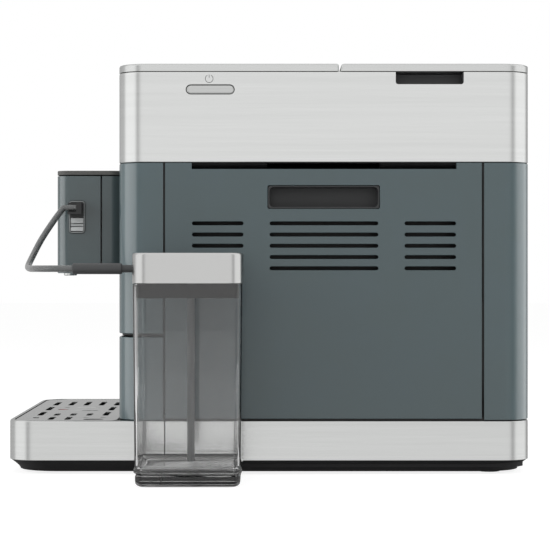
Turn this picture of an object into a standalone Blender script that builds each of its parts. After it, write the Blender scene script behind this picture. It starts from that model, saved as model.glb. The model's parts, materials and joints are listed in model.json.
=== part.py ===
"""Bean to cup coffee machine with a drawer drip tray, a milk jar and a milk hose.

All lengths are in metres and +Z is up. The front of the machine looks along -X and
its service side looks along -Y, where the milk jar stands. Outlines are written in
the machine's own coordinates, whose origin lies on the floor below the middle of the
base, and MACHINE_Y then moves everything so that machine and jar are centred.
"""

import math

import bmesh
import bpy
from mathutils import Matrix, Vector
from mathutils.geometry import tessellate_polygon

# Overall form
BASE_LENGTH = 0.488
BASE_WIDTH = 0.305
BODY_SETBACK = 0.103
CORNER_RADIUS = 0.026
GAP = 0.0003
SEAM = 0.0009
RUNNING_GAP = 0.0006
CUT_OVERRUN = 0.002
WELD_DISTANCE = 0.000002
CORNER_STEPS = 6
ROUND_STEPS = 16
EDGE_STEPS = 2

# Heights of the main seams
FOOT_LIFT = 0.002
PLINTH_TOP = 0.0129
BASE_TOP = 0.050
DRAWER_TOP = 0.1276
COVER_SPLIT_GAP = 0.0032
BODY_TOP = 0.2899
BAND_TOP = 0.3748
LID_THICKNESS = 0.0069

# Base: plinth, steel bands and feet
PLINTH_END_TAPER = 0.0062
PLINTH_SIDE_TAPER = 0.0097
PLINTH_FOOT_CORNER = 0.038
PLINTH_EDGE = 0.001
PLINTH_SHARES = ((0.0, 1.0), (0.12, 0.96), (0.33, 0.80), (0.63, 0.47), (0.85, 0.20), (1.0, 0.0))
BASE_BAND_WALL = 0.0044
BAND_TOP_ROUND = 0.0018
BAND_LOW_ROUND = 0.0006
DRAWER_SEAM_SETBACK = 0.044
FOOT_RADIUS = 0.012
FOOT_HEIGHT = 0.006
FOOT_EDGE = 0.0015
FOOT_FRONT_SETBACK = 0.071
FOOT_REAR_LEAD = 0.036
FOOT_Y = 0.118

# Body covers
COVER_WALL = 0.0025
COVER_ROUND = 0.0006
PANEL_REAR_LEAD = 0.0444
SLOT_HALF_WIDTH = 0.022
SLOT_LOW = 0.140
SLOT_HIGH = 0.284

# Service panel
PANEL_NOTCH_FRONT_SETBACK = 0.0691
PANEL_NOTCH_REAR_LEAD = 0.0697
PANEL_NOTCH_DEPTH = 0.0058
GRIP_FRONT = -0.0014
GRIP_REAR = 0.1032
GRIP_LOW = 0.247
GRIP_HIGH = 0.269
GRIP_ROUND = 0.0015
GRIP_DEPTH = 0.018
GRIP_WALL = 0.0015
GRIP_FLANGE = 0.003
VENT_TOP = 0.2335
VENT_PITCH = 0.01045
VENT_ROWS = 5
VENT_HEIGHT = 0.0035
VENT_STEPS = 2
FRONT_VENT_SETBACK = (0.0693, 0.1173)
MIDDLE_VENT = (0.0005, 0.1017)
REAR_VENT_LEAD = (0.1181, 0.07)
PANEL_PIVOT_RISE = 0.0014

# Rear cover and mains inlet
BACK_VENT_HALF = 0.045
BACK_VENT_Y = -0.055
INLET_Y = 0.095
INLET_Z = 0.082
INLET_HALF_WIDTH = 0.0135
INLET_HALF_HEIGHT = 0.010
INLET_CORNER = 0.004
INLET_DEPTH = 0.022
INLET_WALL = 0.0015
INLET_FLOOR = 0.004
INLET_PIN_HALF = 0.001
INLET_PIN_TALL_HALF = 0.002
INLET_PIN_PITCH = 0.007
INLET_PIN_LENGTH = 0.014
INLET_PIN_RISE = 0.002

# Chassis rooms
ROOM_WALL = 0.004
DRAWER_BAY_REAR_SETBACK = 0.143
DRAWER_BAY_HALF = 0.079
DRAWER_BAY_TOP = 0.126
SERVICE_BAY_FRONT_LEAD = 0.162
SERVICE_BAY_REAR_LEAD = 0.049
SERVICE_BAY_INNER_Y = -0.014
SERVICE_BAY_TOP = 0.200
ROOM_FLOOR = 0.056
MACHINE_ROOM_INNER_Y = 0.014
AIR_DUCT_FRONT_SETBACK = 0.051
AIR_DUCT_REAR_LEAD = 0.049
AIR_DUCT_LOW = 0.184
AIR_DUCT_HIGH = 0.279
AIR_DUCT_DEPTH = 0.026
SHADOW_SLOT_DEPTH = 0.008
FINGER_SLOT_FRONT = -0.0017
FINGER_SLOT_REAR = 0.1035
FINGER_SLOT_DEPTH = 0.022
FINGER_SLOT_LOW = 0.2825
GRINDER_ROOM_HALF_X = 0.054
GRINDER_ROOM_HALF_Y = 0.078
GRINDER_ROOM_FLOOR = 0.135
TANK_BAY_CLEARANCE = 0.0015

# Upper deck, steel band, display and button
UPPER_BAND_WALL = 0.0025
UPPER_BAND_ROUND = 0.0012
NOTCH_FRONT_LEAD = 0.1261
NOTCH_REAR_LEAD = 0.063
NOTCH_DEPTH = 0.0118
NOTCH_CORNER = 0.002
NOTCH_REACH = 0.024
DISPLAY_HALF = 0.062
DISPLAY_LOW = 0.300
DISPLAY_HIGH = 0.362
DISPLAY_CORNER = 0.004
DISPLAY_THICKNESS = 0.0021
BUTTON_FRONT_SETBACK = 0.0639
BUTTON_REAR_SETBACK = 0.1088
BUTTON_LOW = 0.3537
BUTTON_HIGH = 0.3623
BUTTON_STEPS = 5
BUTTON_CROWN = 0.0012
BUTTON_SET_BACK = 0.0003
BUTTON_FLANGE = 0.002
BUTTON_FLANGE_THICKNESS = 0.0015
BUTTON_TRAVEL = 0.0015

# Lids and their hinges
LID_SPLIT_LEAD = 0.179
LID_SPLIT_GAP = 0.0012
LID_SPLIT_SLANT = 0.0014
LID_TOP_ROUND = 0.0016
LID_CORNER = 0.0022
LID_SEAT_GAP = 0.0003
PIN_INSET = 0.0032
PIN_RADIUS = 0.0012
PIN_BORE = 0.0016
EAR_WIDTH = 0.006
EAR_RADIUS = 0.0022
EAR_SLOT_RADIUS = 0.0026
EAR_SPACING = 0.045
PIN_OVERHANG = 0.006
BRACKET_HALF = 0.055
BRACKET_THICKNESS = 0.003
BRACKET_DEPTH = 0.026
BRACKET_REACH = 0.0003
HINGE_STEPS = 10

# Bean hopper and grinder
GRINDER_SETBACK = 0.103
HOPPER_HALF_X = 0.075
HOPPER_HALF_Y = 0.100
HOPPER_CORNER = 0.020
HOPPER_NECK_RADIUS = 0.034
HOPPER_NECK_LENGTH = 0.014
HOPPER_FUNNEL_HEIGHT = 0.038
HOPPER_TOP_DROP = 0.0045
HOPPER_WALL = 0.0025
HOPPER_CLEARANCE = 0.0012
MOTOR_RADIUS = 0.040
MOTOR_HEIGHT = 0.064
MOTOR_CAP_RADIUS = 0.030
MOTOR_CAP_HEIGHT = 0.004
HOUSING_RADIUS = 0.050
HOUSING_HEIGHT = 0.084
HOUSING_FLOOR = 0.004
HOUSING_BORE = 0.042
HOUSING_LEDGE = 0.004
HOUSING_LEDGE_HEIGHT = 0.037
BURR_HEIGHT = 0.022
BURR_WALL_LOW = 0.014
BURR_WALL_HIGH = 0.020
BURR_RUN = 0.001
CONE_TOP_RADIUS = 0.010
CONE_TIP = 0.006
SHAFT_RADIUS = 0.005
CHUTE_Y = -0.062
CHUTE_HALF_WIDTH = 0.011
CHUTE_HALF_HEIGHT = 0.007
CHUTE_WALL = 0.0015
CHUTE_START_SETBACK = 0.135
CHUTE_START_Z = 0.213
CHUTE_END_LEAD = 0.139
CHUTE_END_Z = 0.1800

# Brew group
BREW_LEAD = 0.106
BREW_Y = -0.062
BREW_FRAME_HALF = 0.040
BREW_FRAME_DEPTH_HALF = 0.035
BREW_FRAME_WALL = 0.003
BREW_SHELF_LOW = 0.108
BREW_SHELF_THICKNESS = 0.0057
BREW_CHAMBER_RADIUS = 0.030
BREW_CHAMBER_BORE = 0.026
BREW_CHAMBER_FLOOR = 0.004
BREW_CHAMBER_HEIGHT = 0.054
PISTON_GAP = 0.0004
PISTON_LIFT = 0.002
PISTON_HEIGHT = 0.010
PISTON_ROD_RADIUS = 0.009
PISTON_ROD_LENGTH = 0.040
PISTON_BORE_RISE = 0.006
SPINDLE_RADIUS = 0.004
SPINDLE_BORE_GAP = 0.0006
SPINDLE_GEAR_RADIUS = 0.020
SPINDLE_GEAR_HEIGHT = 0.008
SPINDLE_GEAR_LIFT = 0.003
SPINDLE_TEETH = 16
SPINDLE_TOOTH_DEPTH = 0.0018
TOOTH_SHARES = ((0.0, False), (0.35, False), (0.5, True), (0.85, True))
SPINDLE_TOP_GAP = 0.002

# Machine room
HEATER_LEAD = 0.124
HEATER_Y = 0.055
HEATER_HALF_X = 0.028
HEATER_HALF_Y = 0.022
HEATER_HEIGHT = 0.096
HEATER_FIN_COUNT = 8
HEATER_FIN_SLOT = 0.005
HEATER_FIN_DEPTH = 0.007
HEATER_FOOT = 0.010
PUMP_LEAD = 0.072
PUMP_Y = 0.055
PUMP_RADIUS = 0.016
PUMP_COIL_RADIUS = 0.019
PUMP_HEIGHT = 0.090
PUMP_COIL_SHARES = (0.25, 0.70)
PUMP_PORT_RADIUS = 0.004
PUMP_PORT_HEIGHT = 0.010
BOARD_Y = 0.120
BOARD_HALF_LENGTH = 0.046
BOARD_THICKNESS = 0.0016
BOARD_HEIGHT = 0.110
CHIP_HALF_SHARE = 0.20
CHIP_HEIGHT_SHARE = 0.24
CHIP_DEPTH = 0.006
CHIP_PLACE_SHARES = ((-0.55, 0.30), (0.10, 0.30), (0.60, 0.68), (-0.30, 0.72))

# Water tank
TANK_LEAD = 0.084
TANK_HALF_X = 0.068
TANK_HALF_Y = 0.075
TANK_CORNER = 0.012
TANK_BOTTOM = 0.210
TANK_TOP = 0.366
TANK_WALL = 0.0025
TANK_TAPER = 0.002
VALVE_RADIUS = 0.009
VALVE_TIP_RADIUS = 0.006
VALVE_HEIGHT = 0.010
VALVE_CLEARANCE = 0.001
TANK_TRAVEL_GAP = 0.0003

# Drip tray drawer
BASIN_FLOOR = 0.018
BASIN_WALL = 0.003
BASIN_REAR_SETBACK = -0.005
BASIN_REAR_CORNER = 0.006
SHELF_THICKNESS = 0.002
SHELF_FRONT_SETBACK = 0.01
SHELF_REAR_SETBACK = 0.139
SHELF_HALF = 0.077
CONTAINER_FRONT_SETBACK = 0.011
CONTAINER_REAR_SETBACK = 0.135
CONTAINER_HALF = 0.074
CONTAINER_HEIGHT = 0.066
CONTAINER_WALL = 0.002
CONTAINER_CORNER = 0.010
CONTAINER_TAPER = 0.003
GRILLE_INSET = 0.0058
GRILLE_REAR_SETBACK = -0.002
GRILLE_REAR_CORNER = 0.014
GRILLE_THICKNESS = 0.0014
GRILLE_SET_DOWN = 0.0004
GRILLE_SLOT_WIDTH = 0.0056
GRILLE_COLUMN_PITCH = 0.0158
GRILLE_FIRST_COLUMN_INWARD = 0.0224
GRILLE_SLOT_STEPS = 3
GRILLE_COLUMNS = (
    ((0.037, 0.048), (0.071, 0.118), (0.139, 0.186), (0.208, 0.256)),
    ((0.019, 0.053), (0.070, 0.095), (0.176, 0.182), (0.208, 0.262)),
    ((0.019, 0.053), (0.070, 0.097), (0.176, 0.182), (0.208, 0.262)),
    ((0.045, 0.050), (0.070, 0.097), (0.176, 0.182), (0.208, 0.262)),
    ((0.045, 0.050), (0.070, 0.118), (0.138, 0.186), (0.208, 0.256)),
)
FLOAT_INWARD = 0.037
FLOAT_Y = -0.0025
FLOAT_RADIUS = 0.0045
FLOAT_HOLE_RADIUS = 0.0054
FLOAT_BASE_RADIUS = 0.010
FLOAT_BASE_HEIGHT = 0.012
FINGER_HOLE_FRONT_INWARD = 0.069
FINGER_HOLE_REAR_INWARD = 0.088
FINGER_HOLE_NEAR = 0.018
FINGER_HOLE_FAR = 0.030

# Coffee spout
SPOUT_FRONT_SETBACK = -0.0673
SPOUT_SPLIT_SETBACK = -0.0228
SPOUT_HALF = 0.055
SPOUT_LOW = 0.187
SPOUT_HIGH = 0.283
SPOUT_CAP_THICKNESS = 0.0045
SPOUT_CAP_LIP = 0.0006
SPOUT_FRONT_CORNER = 0.012
SPOUT_REAR_CORNER = 0.014
SPOUT_WALL = 0.0025
SPOUT_TRAVEL_ROOM = 0.050
TONGUE_HALF = 0.0160
TONGUE_LOW = 0.195
TONGUE_HIGH = 0.275
TONGUE_REACH = 0.0145
TRACK_WALL = 0.002
TRACK_DEPTH = 0.018
NOZZLE_SETBACK = -0.059
NOZZLE_Y = 0.011
NOZZLE_RADIUS = 0.0055
NOZZLE_BORE = 0.0035
NOZZLE_DROP = 0.0025
NOZZLE_HEIGHT = 0.016

# Milk port, plug and hose
PORT_FRONT_SETBACK = -0.0547
PORT_REAR_SETBACK = -0.0393
PORT_LOW = 0.2263
PORT_HIGH = 0.2578
PORT_CORNER = 0.0025
PORT_RIM = 0.0012
PORT_STAND = 0.0016
PORT_SINK = 0.0022
SLIDE_LOW = 0.2283
SLIDE_HIGH = 0.2411
SLIDE_GROOVE = 0.0012
SLIDE_GROOVE_SHARES = (0.36, 0.57)
SLIDE_STAND = 0.0012
PLUG_LOW = 0.2414
PLUG_HIGH = 0.2562
PLUG_FRONT_SETBACK = -0.0555
PLUG_REAR_SETBACK = -0.0414
PLUG_STAND = 0.0132
PLUG_BODY_LOW = 0.2445
PLUG_BODY_HIGH = 0.2560
PLUG_EDGE = 0.0010
PLUG_RECESS_SETBACK = -0.0467
PLUG_RECESS_LOW = 0.2467
HOSE_DIAMETER = 0.006
HOSE_RESOLUTION = 3
HOSE_STEPS = 7
HOSE_START_Y = -0.0622
HOSE_START_Z = 0.2510
HOSE_START_STUB = 0.011
HOSE_END_STUB = 0.0026
HOSE_END_SETBACK = -0.0354
HOSE_END_Z = 0.1914
HOSE_ROUTE_SETBACKS = (
    (-0.0632, -0.0652, 0.2455),
    (-0.0712, -0.0742, 0.2325),
    (-0.0766, -0.0880, 0.2185),
    (-0.0802, -0.1090, 0.2035),
    (-0.0817, -0.1400, 0.1940),
    (-0.0792, -0.1720, 0.1916),
    (-0.0695, -0.2000, 0.1914),
    (-0.055, -0.2145, 0.1914),
)
SLEEVE_REAR_SETBACK = 0.0093
SLEEVE_RADIUS = 0.00495
SLEEVE_NECK_RADIUS = 0.0034
SLEEVE_NECK_END_SETBACK = 0.0182
SLEEVE_EDGE = 0.0008

# Milk jar
JAR_SETBACK = 0.0696
JAR_GAP = 0.016
JAR_WIDTH = 0.0960
JAR_DEPTH = 0.0970
JAR_TAPER = 0.0015
JAR_CORNER = 0.009
JAR_HEIGHT = 0.1780
JAR_WALL = 0.0024
JAR_FLOOR = 0.0155
JAR_FOOT_HEIGHT = 0.0143
JAR_FOOT_INSET = 0.0012
JAR_FOOT_ROUND = 0.0030
JAR_LID_OVERHANG = 0.00075
JAR_LID_HEIGHT = 0.0270
JAR_LID_ROUND = 0.0028
JAR_LID_WALL = 0.0025
COLLAR_DEPTH = 0.0124
COLLAR_WALL = 0.004
COLLAR_GAP = 0.0004
TUBE_RADIUS = 0.0033
TUBE_BORE = 0.0022
TUBE_FLOOR_GAP = 0.0020
TUBE_SETBACK = 0.071

# Places worked out from the sizes above
FRONT_X = -BASE_LENGTH / 2
REAR_X = BASE_LENGTH / 2
HALF_WIDTH = BASE_WIDTH / 2
BODY_FRONT_X = FRONT_X + BODY_SETBACK
MACHINE_Y = (JAR_GAP + JAR_DEPTH) / 2
JAR_Y = -HALF_WIDTH - JAR_GAP - JAR_DEPTH / 2
DRAWER_SEAM_X = BODY_FRONT_X + DRAWER_SEAM_SETBACK
FOOT_FRONT_X = BODY_FRONT_X + FOOT_FRONT_SETBACK
PANEL_NOTCH_FRONT = BODY_FRONT_X + PANEL_NOTCH_FRONT_SETBACK
FRONT_VENT = tuple(BODY_FRONT_X + value for value in FRONT_VENT_SETBACK)
AIR_DUCT_FRONT = BODY_FRONT_X + AIR_DUCT_FRONT_SETBACK
BUTTON_FRONT = BODY_FRONT_X + BUTTON_FRONT_SETBACK
BUTTON_REAR = BODY_FRONT_X + BUTTON_REAR_SETBACK
GRINDER_X = BODY_FRONT_X + GRINDER_SETBACK
CHUTE_START_X = BODY_FRONT_X + CHUTE_START_SETBACK
DRAWER_BAY_REAR = BODY_FRONT_X + DRAWER_BAY_REAR_SETBACK
BASIN_REAR_X = BODY_FRONT_X + BASIN_REAR_SETBACK
SHELF_FRONT_X = BODY_FRONT_X + SHELF_FRONT_SETBACK
SHELF_REAR_X = BODY_FRONT_X + SHELF_REAR_SETBACK
CONTAINER_FRONT_X = BODY_FRONT_X + CONTAINER_FRONT_SETBACK
CONTAINER_REAR_X = BODY_FRONT_X + CONTAINER_REAR_SETBACK
GRILLE_REAR_X = BODY_FRONT_X + GRILLE_REAR_SETBACK
SPOUT_FRONT = BODY_FRONT_X + SPOUT_FRONT_SETBACK
SPOUT_SPLIT = BODY_FRONT_X + SPOUT_SPLIT_SETBACK
NOZZLE_X = BODY_FRONT_X + NOZZLE_SETBACK
PORT_FRONT = BODY_FRONT_X + PORT_FRONT_SETBACK
PORT_REAR = BODY_FRONT_X + PORT_REAR_SETBACK
PLUG_FRONT = BODY_FRONT_X + PLUG_FRONT_SETBACK
PLUG_REAR = BODY_FRONT_X + PLUG_REAR_SETBACK
PLUG_RECESS_X = BODY_FRONT_X + PLUG_RECESS_SETBACK
HOSE_END_X = BODY_FRONT_X + HOSE_END_SETBACK
SLEEVE_REAR_X = BODY_FRONT_X + SLEEVE_REAR_SETBACK
SLEEVE_NECK_END = BODY_FRONT_X + SLEEVE_NECK_END_SETBACK
JAR_X = BODY_FRONT_X + JAR_SETBACK
TUBE_X = BODY_FRONT_X + TUBE_SETBACK
PANEL_REAR_X = REAR_X - PANEL_REAR_LEAD
PANEL_NOTCH_REAR = REAR_X - PANEL_NOTCH_REAR_LEAD
REAR_VENT = tuple(REAR_X - value for value in REAR_VENT_LEAD)
FOOT_REAR_X = REAR_X - FOOT_REAR_LEAD
SERVICE_BAY_FRONT = REAR_X - SERVICE_BAY_FRONT_LEAD
SERVICE_BAY_REAR = REAR_X - SERVICE_BAY_REAR_LEAD
AIR_DUCT_REAR = REAR_X - AIR_DUCT_REAR_LEAD
NOTCH_FRONT = REAR_X - NOTCH_FRONT_LEAD
NOTCH_REAR = REAR_X - NOTCH_REAR_LEAD
LID_SPLIT_X = REAR_X - LID_SPLIT_LEAD
CHUTE_END_X = REAR_X - CHUTE_END_LEAD
BREW_X = REAR_X - BREW_LEAD
HEATER_X = REAR_X - HEATER_LEAD
PUMP_X = REAR_X - PUMP_LEAD
TANK_X = REAR_X - TANK_LEAD
GRILLE_FIRST_COLUMN_X = FRONT_X + GRILLE_FIRST_COLUMN_INWARD
FLOAT_X = FRONT_X + FLOAT_INWARD
FINGER_HOLE_FRONT = FRONT_X + FINGER_HOLE_FRONT_INWARD
FINGER_HOLE_REAR = FRONT_X + FINGER_HOLE_REAR_INWARD
HOSE_ROUTE = tuple((BODY_FRONT_X + x, y, z) for x, y, z in HOSE_ROUTE_SETBACKS)
DRAWER_END_X = DRAWER_SEAM_X - SEAM / 2
FIXED_START_X = DRAWER_SEAM_X + SEAM / 2
PANEL_END_X = PANEL_REAR_X - SEAM / 2
REAR_COVER_X = PANEL_REAR_X + SEAM / 2
BASE_CORE_INSET = BASE_BAND_WALL + GAP
BASE_CORE_TOP = BASE_TOP - GAP
BODY_LOW = BASE_TOP + GAP
COVER_INSET = COVER_WALL + GAP
CHASSIS_LOW = BASE_TOP
CHASSIS_TOP = BODY_TOP
UPPER_LOW = BODY_TOP + GAP
DECK_LOW = CHASSIS_TOP + GAP
DECK_TOP = BAND_TOP - GAP
LID_LOW = BAND_TOP + LID_SEAT_GAP
LID_HIGH = LID_LOW + LID_THICKNESS
PIN_Y = HALF_WIDTH - PIN_INSET
PIN_Z = LID_LOW + PIN_INSET
HOPPER_LID_X = (BODY_FRONT_X + LID_SPLIT_X) / 2
TANK_LID_FRONT_X = LID_SPLIT_X + LID_SPLIT_GAP
TANK_LID_X = (TANK_LID_FRONT_X + REAR_X) / 2
PANEL_PIVOT_Z = BODY_LOW + PANEL_PIVOT_RISE
PANEL_PIVOT_Y = -HALF_WIDTH + COVER_WALL / 2
PORT_FACE_Y = -SPOUT_HALF

# Colours as seen on the machine, red green blue in sRGB
STEEL_COLOR = (0.835, 0.835, 0.830)
GREEN_COLOR = (0.335, 0.378, 0.388)
BLACK_COLOR = (0.075, 0.078, 0.080)
DARK_COLOR = (0.210, 0.212, 0.215)
CLEAR_COLOR = (0.780, 0.790, 0.790)
HOSE_COLOR = (0.560, 0.562, 0.560)
SILVER_COLOR = (0.765, 0.765, 0.762)
RED_COLOR = (0.640, 0.060, 0.050)
RUBBER_COLOR = (0.060, 0.060, 0.060)
GREY_COLOR = (0.600, 0.602, 0.600)
ALUMINIUM_COLOR = (0.720, 0.725, 0.730)
BOARD_COLOR = (0.060, 0.230, 0.130)
CERAMIC_COLOR = (0.860, 0.850, 0.820)
BRASS_COLOR = (0.710, 0.560, 0.280)


def linear(channel):
    """One sRGB channel as a linear value."""
    if channel <= 0.04045:
        return channel / 12.92
    return ((channel + 0.055) / 1.055) ** 2.4


def make_material(name, color, roughness, metallic, alpha=1.0):
    """A Principled BSDF material."""
    material = bpy.data.materials.new(name)
    material.use_nodes = True
    shader = material.node_tree.nodes["Principled BSDF"]
    shader.inputs["Base Color"].default_value = (*(linear(c) for c in color), 1.0)
    shader.inputs["Roughness"].default_value = roughness
    shader.inputs["Metallic"].default_value = metallic
    shader.inputs["Alpha"].default_value = alpha
    material.diffuse_color = (*color, alpha)
    return material


LOOKS = {
    "steel": (STEEL_COLOR, 0.32, 1.0),
    "green": (GREEN_COLOR, 0.45, 0.2),
    "black": (BLACK_COLOR, 0.50, 0.0),
    "dark": (DARK_COLOR, 0.45, 0.0),
    "clear": (CLEAR_COLOR, 0.05, 0.0),
    "hose": (HOSE_COLOR, 0.40, 0.0),
    "silver": (SILVER_COLOR, 0.35, 0.3),
    "red": (RED_COLOR, 0.40, 0.0),
    "rubber": (RUBBER_COLOR, 0.80, 0.0),
    "grey": (GREY_COLOR, 0.50, 0.0),
    "aluminium": (ALUMINIUM_COLOR, 0.40, 1.0),
    "board": (BOARD_COLOR, 0.50, 0.0),
    "ceramic": (CERAMIC_COLOR, 0.50, 0.0),
    "brass": (BRASS_COLOR, 0.30, 1.0),
}


# Outlines

def arc(cx, cy, radius, start, end, steps):
    """Points on an arc, angles in degrees."""
    points = []
    for i in range(steps + 1):
        angle = math.radians(start + (end - start) * i / steps)
        points.append((cx + radius * math.cos(angle), cy + radius * math.sin(angle)))
    return points


def rounded(x0, x1, y0, y1, radii, steps=CORNER_STEPS):
    """Rectangle outline with a radius for each corner, from low x low y round to low x high y."""
    if not hasattr(radii, "__len__"):
        radii = (radii,) * 4
    corners = (
        (x0 + radii[0], y0 + radii[0], 180),
        (x1 - radii[1], y0 + radii[1], 270),
        (x1 - radii[2], y1 - radii[2], 0),
        (x0 + radii[3], y1 - radii[3], 90),
    )
    points = []
    for (cx, cy, start), radius in zip(corners, radii):
        if radius == 0:
            points.append((cx, cy))
            continue
        points += arc(cx, cy, radius, start, start + 90, steps)
    return points


def rectangle(x0, x1, y0, y1):
    """Rectangle outline."""
    return [(x0, y0), (x1, y0), (x1, y1), (x0, y1)]


def slot(x0, x1, y0, y1, steps):
    """Slot outline with round ends along its longer direction."""
    return rounded(x0, x1, y0, y1, min(x1 - x0, y1 - y0) / 2, steps)


def horseshoe(open_x, closed_x, half, radius, wall, inset=0.0):
    """U outline whose closed end has round corners; inset draws in the outer side only."""
    side = 1 if closed_x > open_x else -1
    outer_x = closed_x - side * inset
    outer = half - inset
    bend = radius - inset
    inner_x = closed_x - side * wall
    inner = half - wall
    inner_bend = radius - wall
    path = [(open_x, -outer)]
    path += arc(outer_x - side * bend, -outer + bend, bend, -90, -90 + side * 90, CORNER_STEPS)
    path += arc(outer_x - side * bend, outer - bend, bend, 90 - side * 90, 90, CORNER_STEPS)
    path += [(open_x, outer), (open_x, inner)]
    path += arc(inner_x - side * inner_bend, inner - inner_bend, inner_bend, 90, 90 - side * 90, CORNER_STEPS)
    path += arc(inner_x - side * inner_bend, -inner + inner_bend, inner_bend, -90 + side * 90, -90, CORNER_STEPS)
    path += [(open_x, -inner)]
    return path


def edge_levels(low, high, low_round, high_round):
    """Heights and insets of a side whose lower and upper edges are rounded."""
    levels = []
    for i in range(EDGE_STEPS + 1):
        angle = math.radians(90 * i / EDGE_STEPS)
        levels.append((low + low_round * (1 - math.sin(angle)), low_round * (1 - math.cos(angle))))
    levels = sorted(levels)
    for i in range(EDGE_STEPS + 1):
        angle = math.radians(90 * i / EDGE_STEPS)
        levels.append((high - high_round * (1 - math.sin(angle)), high_round * (1 - math.cos(angle))))
    return levels


# Closed bodies

def lifted(point, height, axis):
    """Outline point and height as a place; outlines lie in xy, xz or yz."""
    if axis == "Z":
        return (point[0], point[1], height)
    if axis == "Y":
        return (point[0], height, point[1])
    return (height, point[0], point[1])


def closed(bm):
    """Weld coincident points and turn all faces outward."""
    bmesh.ops.remove_doubles(bm, verts=bm.verts, dist=WELD_DISTANCE)
    bmesh.ops.recalc_face_normals(bm, faces=bm.faces)
    return bm


def bridge(bm, low, high):
    """Side faces between two rings of points."""
    for i in range(len(low)):
        j = (i + 1) % len(low)
        bm.faces.new((low[i], low[j], high[j], high[i]))


def ring_points(bm, outline, height, axis):
    """One ring of points in a mesh under construction."""
    return [bm.verts.new(lifted(point, height, axis)) for point in outline]


def distinct(levels):
    """Levels without the points that repeat their neighbour at every level."""
    outlines = [outline for height, outline in levels]
    kept = [
        i for i in range(len(outlines[0]))
        if any(math.dist(outline[i], outline[i - 1]) > WELD_DISTANCE for outline in outlines)
    ]
    return [(height, [outline[i] for i in kept]) for height, outline in levels]


def loft(levels, axis="Z"):
    """Body through outlines of equal count, given as (height, outline)."""
    bm = bmesh.new()
    rings = [ring_points(bm, outline, height, axis) for height, outline in distinct(levels)]
    for low, high in zip(rings, rings[1:]):
        bridge(bm, low, high)
    bm.faces.new(rings[0])
    bm.faces.new(rings[-1])
    return closed(bm)


def prism(outline, low, high, axis="Z"):
    """Straight body over one outline."""
    return loft([(low, outline), (high, outline)], axis)


def box(x0, x1, y0, y1, z0, z1):
    """Rectangular body."""
    return prism(rectangle(x0, x1, y0, y1), z0, z1)


def sleeve(outer, inner, axis="Z"):
    """Wall between an outer and an inner loft that are open at both ends."""
    bm = bmesh.new()
    outside = [ring_points(bm, outline, height, axis) for height, outline in outer]
    inside = [ring_points(bm, outline, height, axis) for height, outline in inner]
    for low, high in zip(outside, outside[1:]):
        bridge(bm, low, high)
    for low, high in zip(inside, inside[1:]):
        bridge(bm, high, low)
    bridge(bm, inside[0], outside[0])
    bridge(bm, outside[-1], inside[-1])
    return closed(bm)


def cup(outer, inner, axis="Z"):
    """Vessel: an outer loft and an inner one that is open at the last level."""
    bm = bmesh.new()
    outside = [ring_points(bm, outline, height, axis) for height, outline in outer]
    inside = [ring_points(bm, outline, height, axis) for height, outline in inner]
    for low, high in zip(outside, outside[1:]):
        bridge(bm, low, high)
    for low, high in zip(inside, inside[1:]):
        bridge(bm, high, low)
    bm.faces.new(outside[0])
    bm.faces.new(inside[0])
    bridge(bm, outside[-1], inside[-1])
    return closed(bm)


def pierced(outer, holes, low, high, axis="Z"):
    """Flat plate with through holes, all outlines in the plate's plane."""
    bm = bmesh.new()
    loops = [without_repeats(outer)] + [without_repeats(hole) for hole in holes]
    flat = [Vector((x, y, 0.0)) for loop in loops for x, y in loop]
    shifted = [[Vector((x, y, 0.0)) for x, y in loop] for loop in loops]
    triangles = tessellate_polygon(shifted)
    bottom = [bm.verts.new(lifted(point, low, axis)) for point in flat]
    top = [bm.verts.new(lifted(point, high, axis)) for point in flat]
    for a, b, c in triangles:
        bm.faces.new((bottom[a], bottom[b], bottom[c]))
        bm.faces.new((top[a], top[b], top[c]))
    start = 0
    for loop in loops:
        end = start + len(loop)
        bridge(bm, bottom[start:end], top[start:end])
        start = end
    return closed(bm)


def without_repeats(outline):
    """Outline without coincident neighbours."""
    kept = []
    for point in outline:
        if not kept or math.dist(point, kept[-1]) > WELD_DISTANCE:
            kept.append(point)
    if math.dist(kept[0], kept[-1]) <= WELD_DISTANCE:
        kept.pop()
    return kept


def revolve(profile, centre, axis="Z", ring=False, steps=ROUND_STEPS):
    """Turned body; the profile holds (radius, height) pairs along the axis."""
    bm = bmesh.new()
    rows = []
    for radius, height in profile:
        if radius == 0:
            rows.append([bm.verts.new(lifted(centre, height, axis))])
            continue
        circle = arc(centre[0], centre[1], radius, 0, 360 - 360 / steps, steps - 1)
        rows.append(ring_points(bm, circle, height, axis))
    pairs = list(zip(rows, rows[1:]))
    if ring:
        pairs.append((rows[-1], rows[0]))
    for low, high in pairs:
        for i in range(steps):
            j = (i + 1) % steps
            corners = [low[i % len(low)], low[j % len(low)], high[j % len(high)], high[i % len(high)]]
            bm.faces.new(list(dict.fromkeys(corners)))
    if not ring:
        for row in (rows[0], rows[-1]):
            if len(row) > 1:
                bm.faces.new(row)
    return closed(bm)


def together(*parts):
    """Several separate bodies in one mesh, for cutting in one go."""
    bm = bmesh.new()
    for part in parts:
        mesh = bpy.data.meshes.new("joined")
        part.to_mesh(mesh)
        part.free()
        bm.from_mesh(mesh)
        bpy.data.meshes.remove(mesh)
    return bm


# Objects

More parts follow.
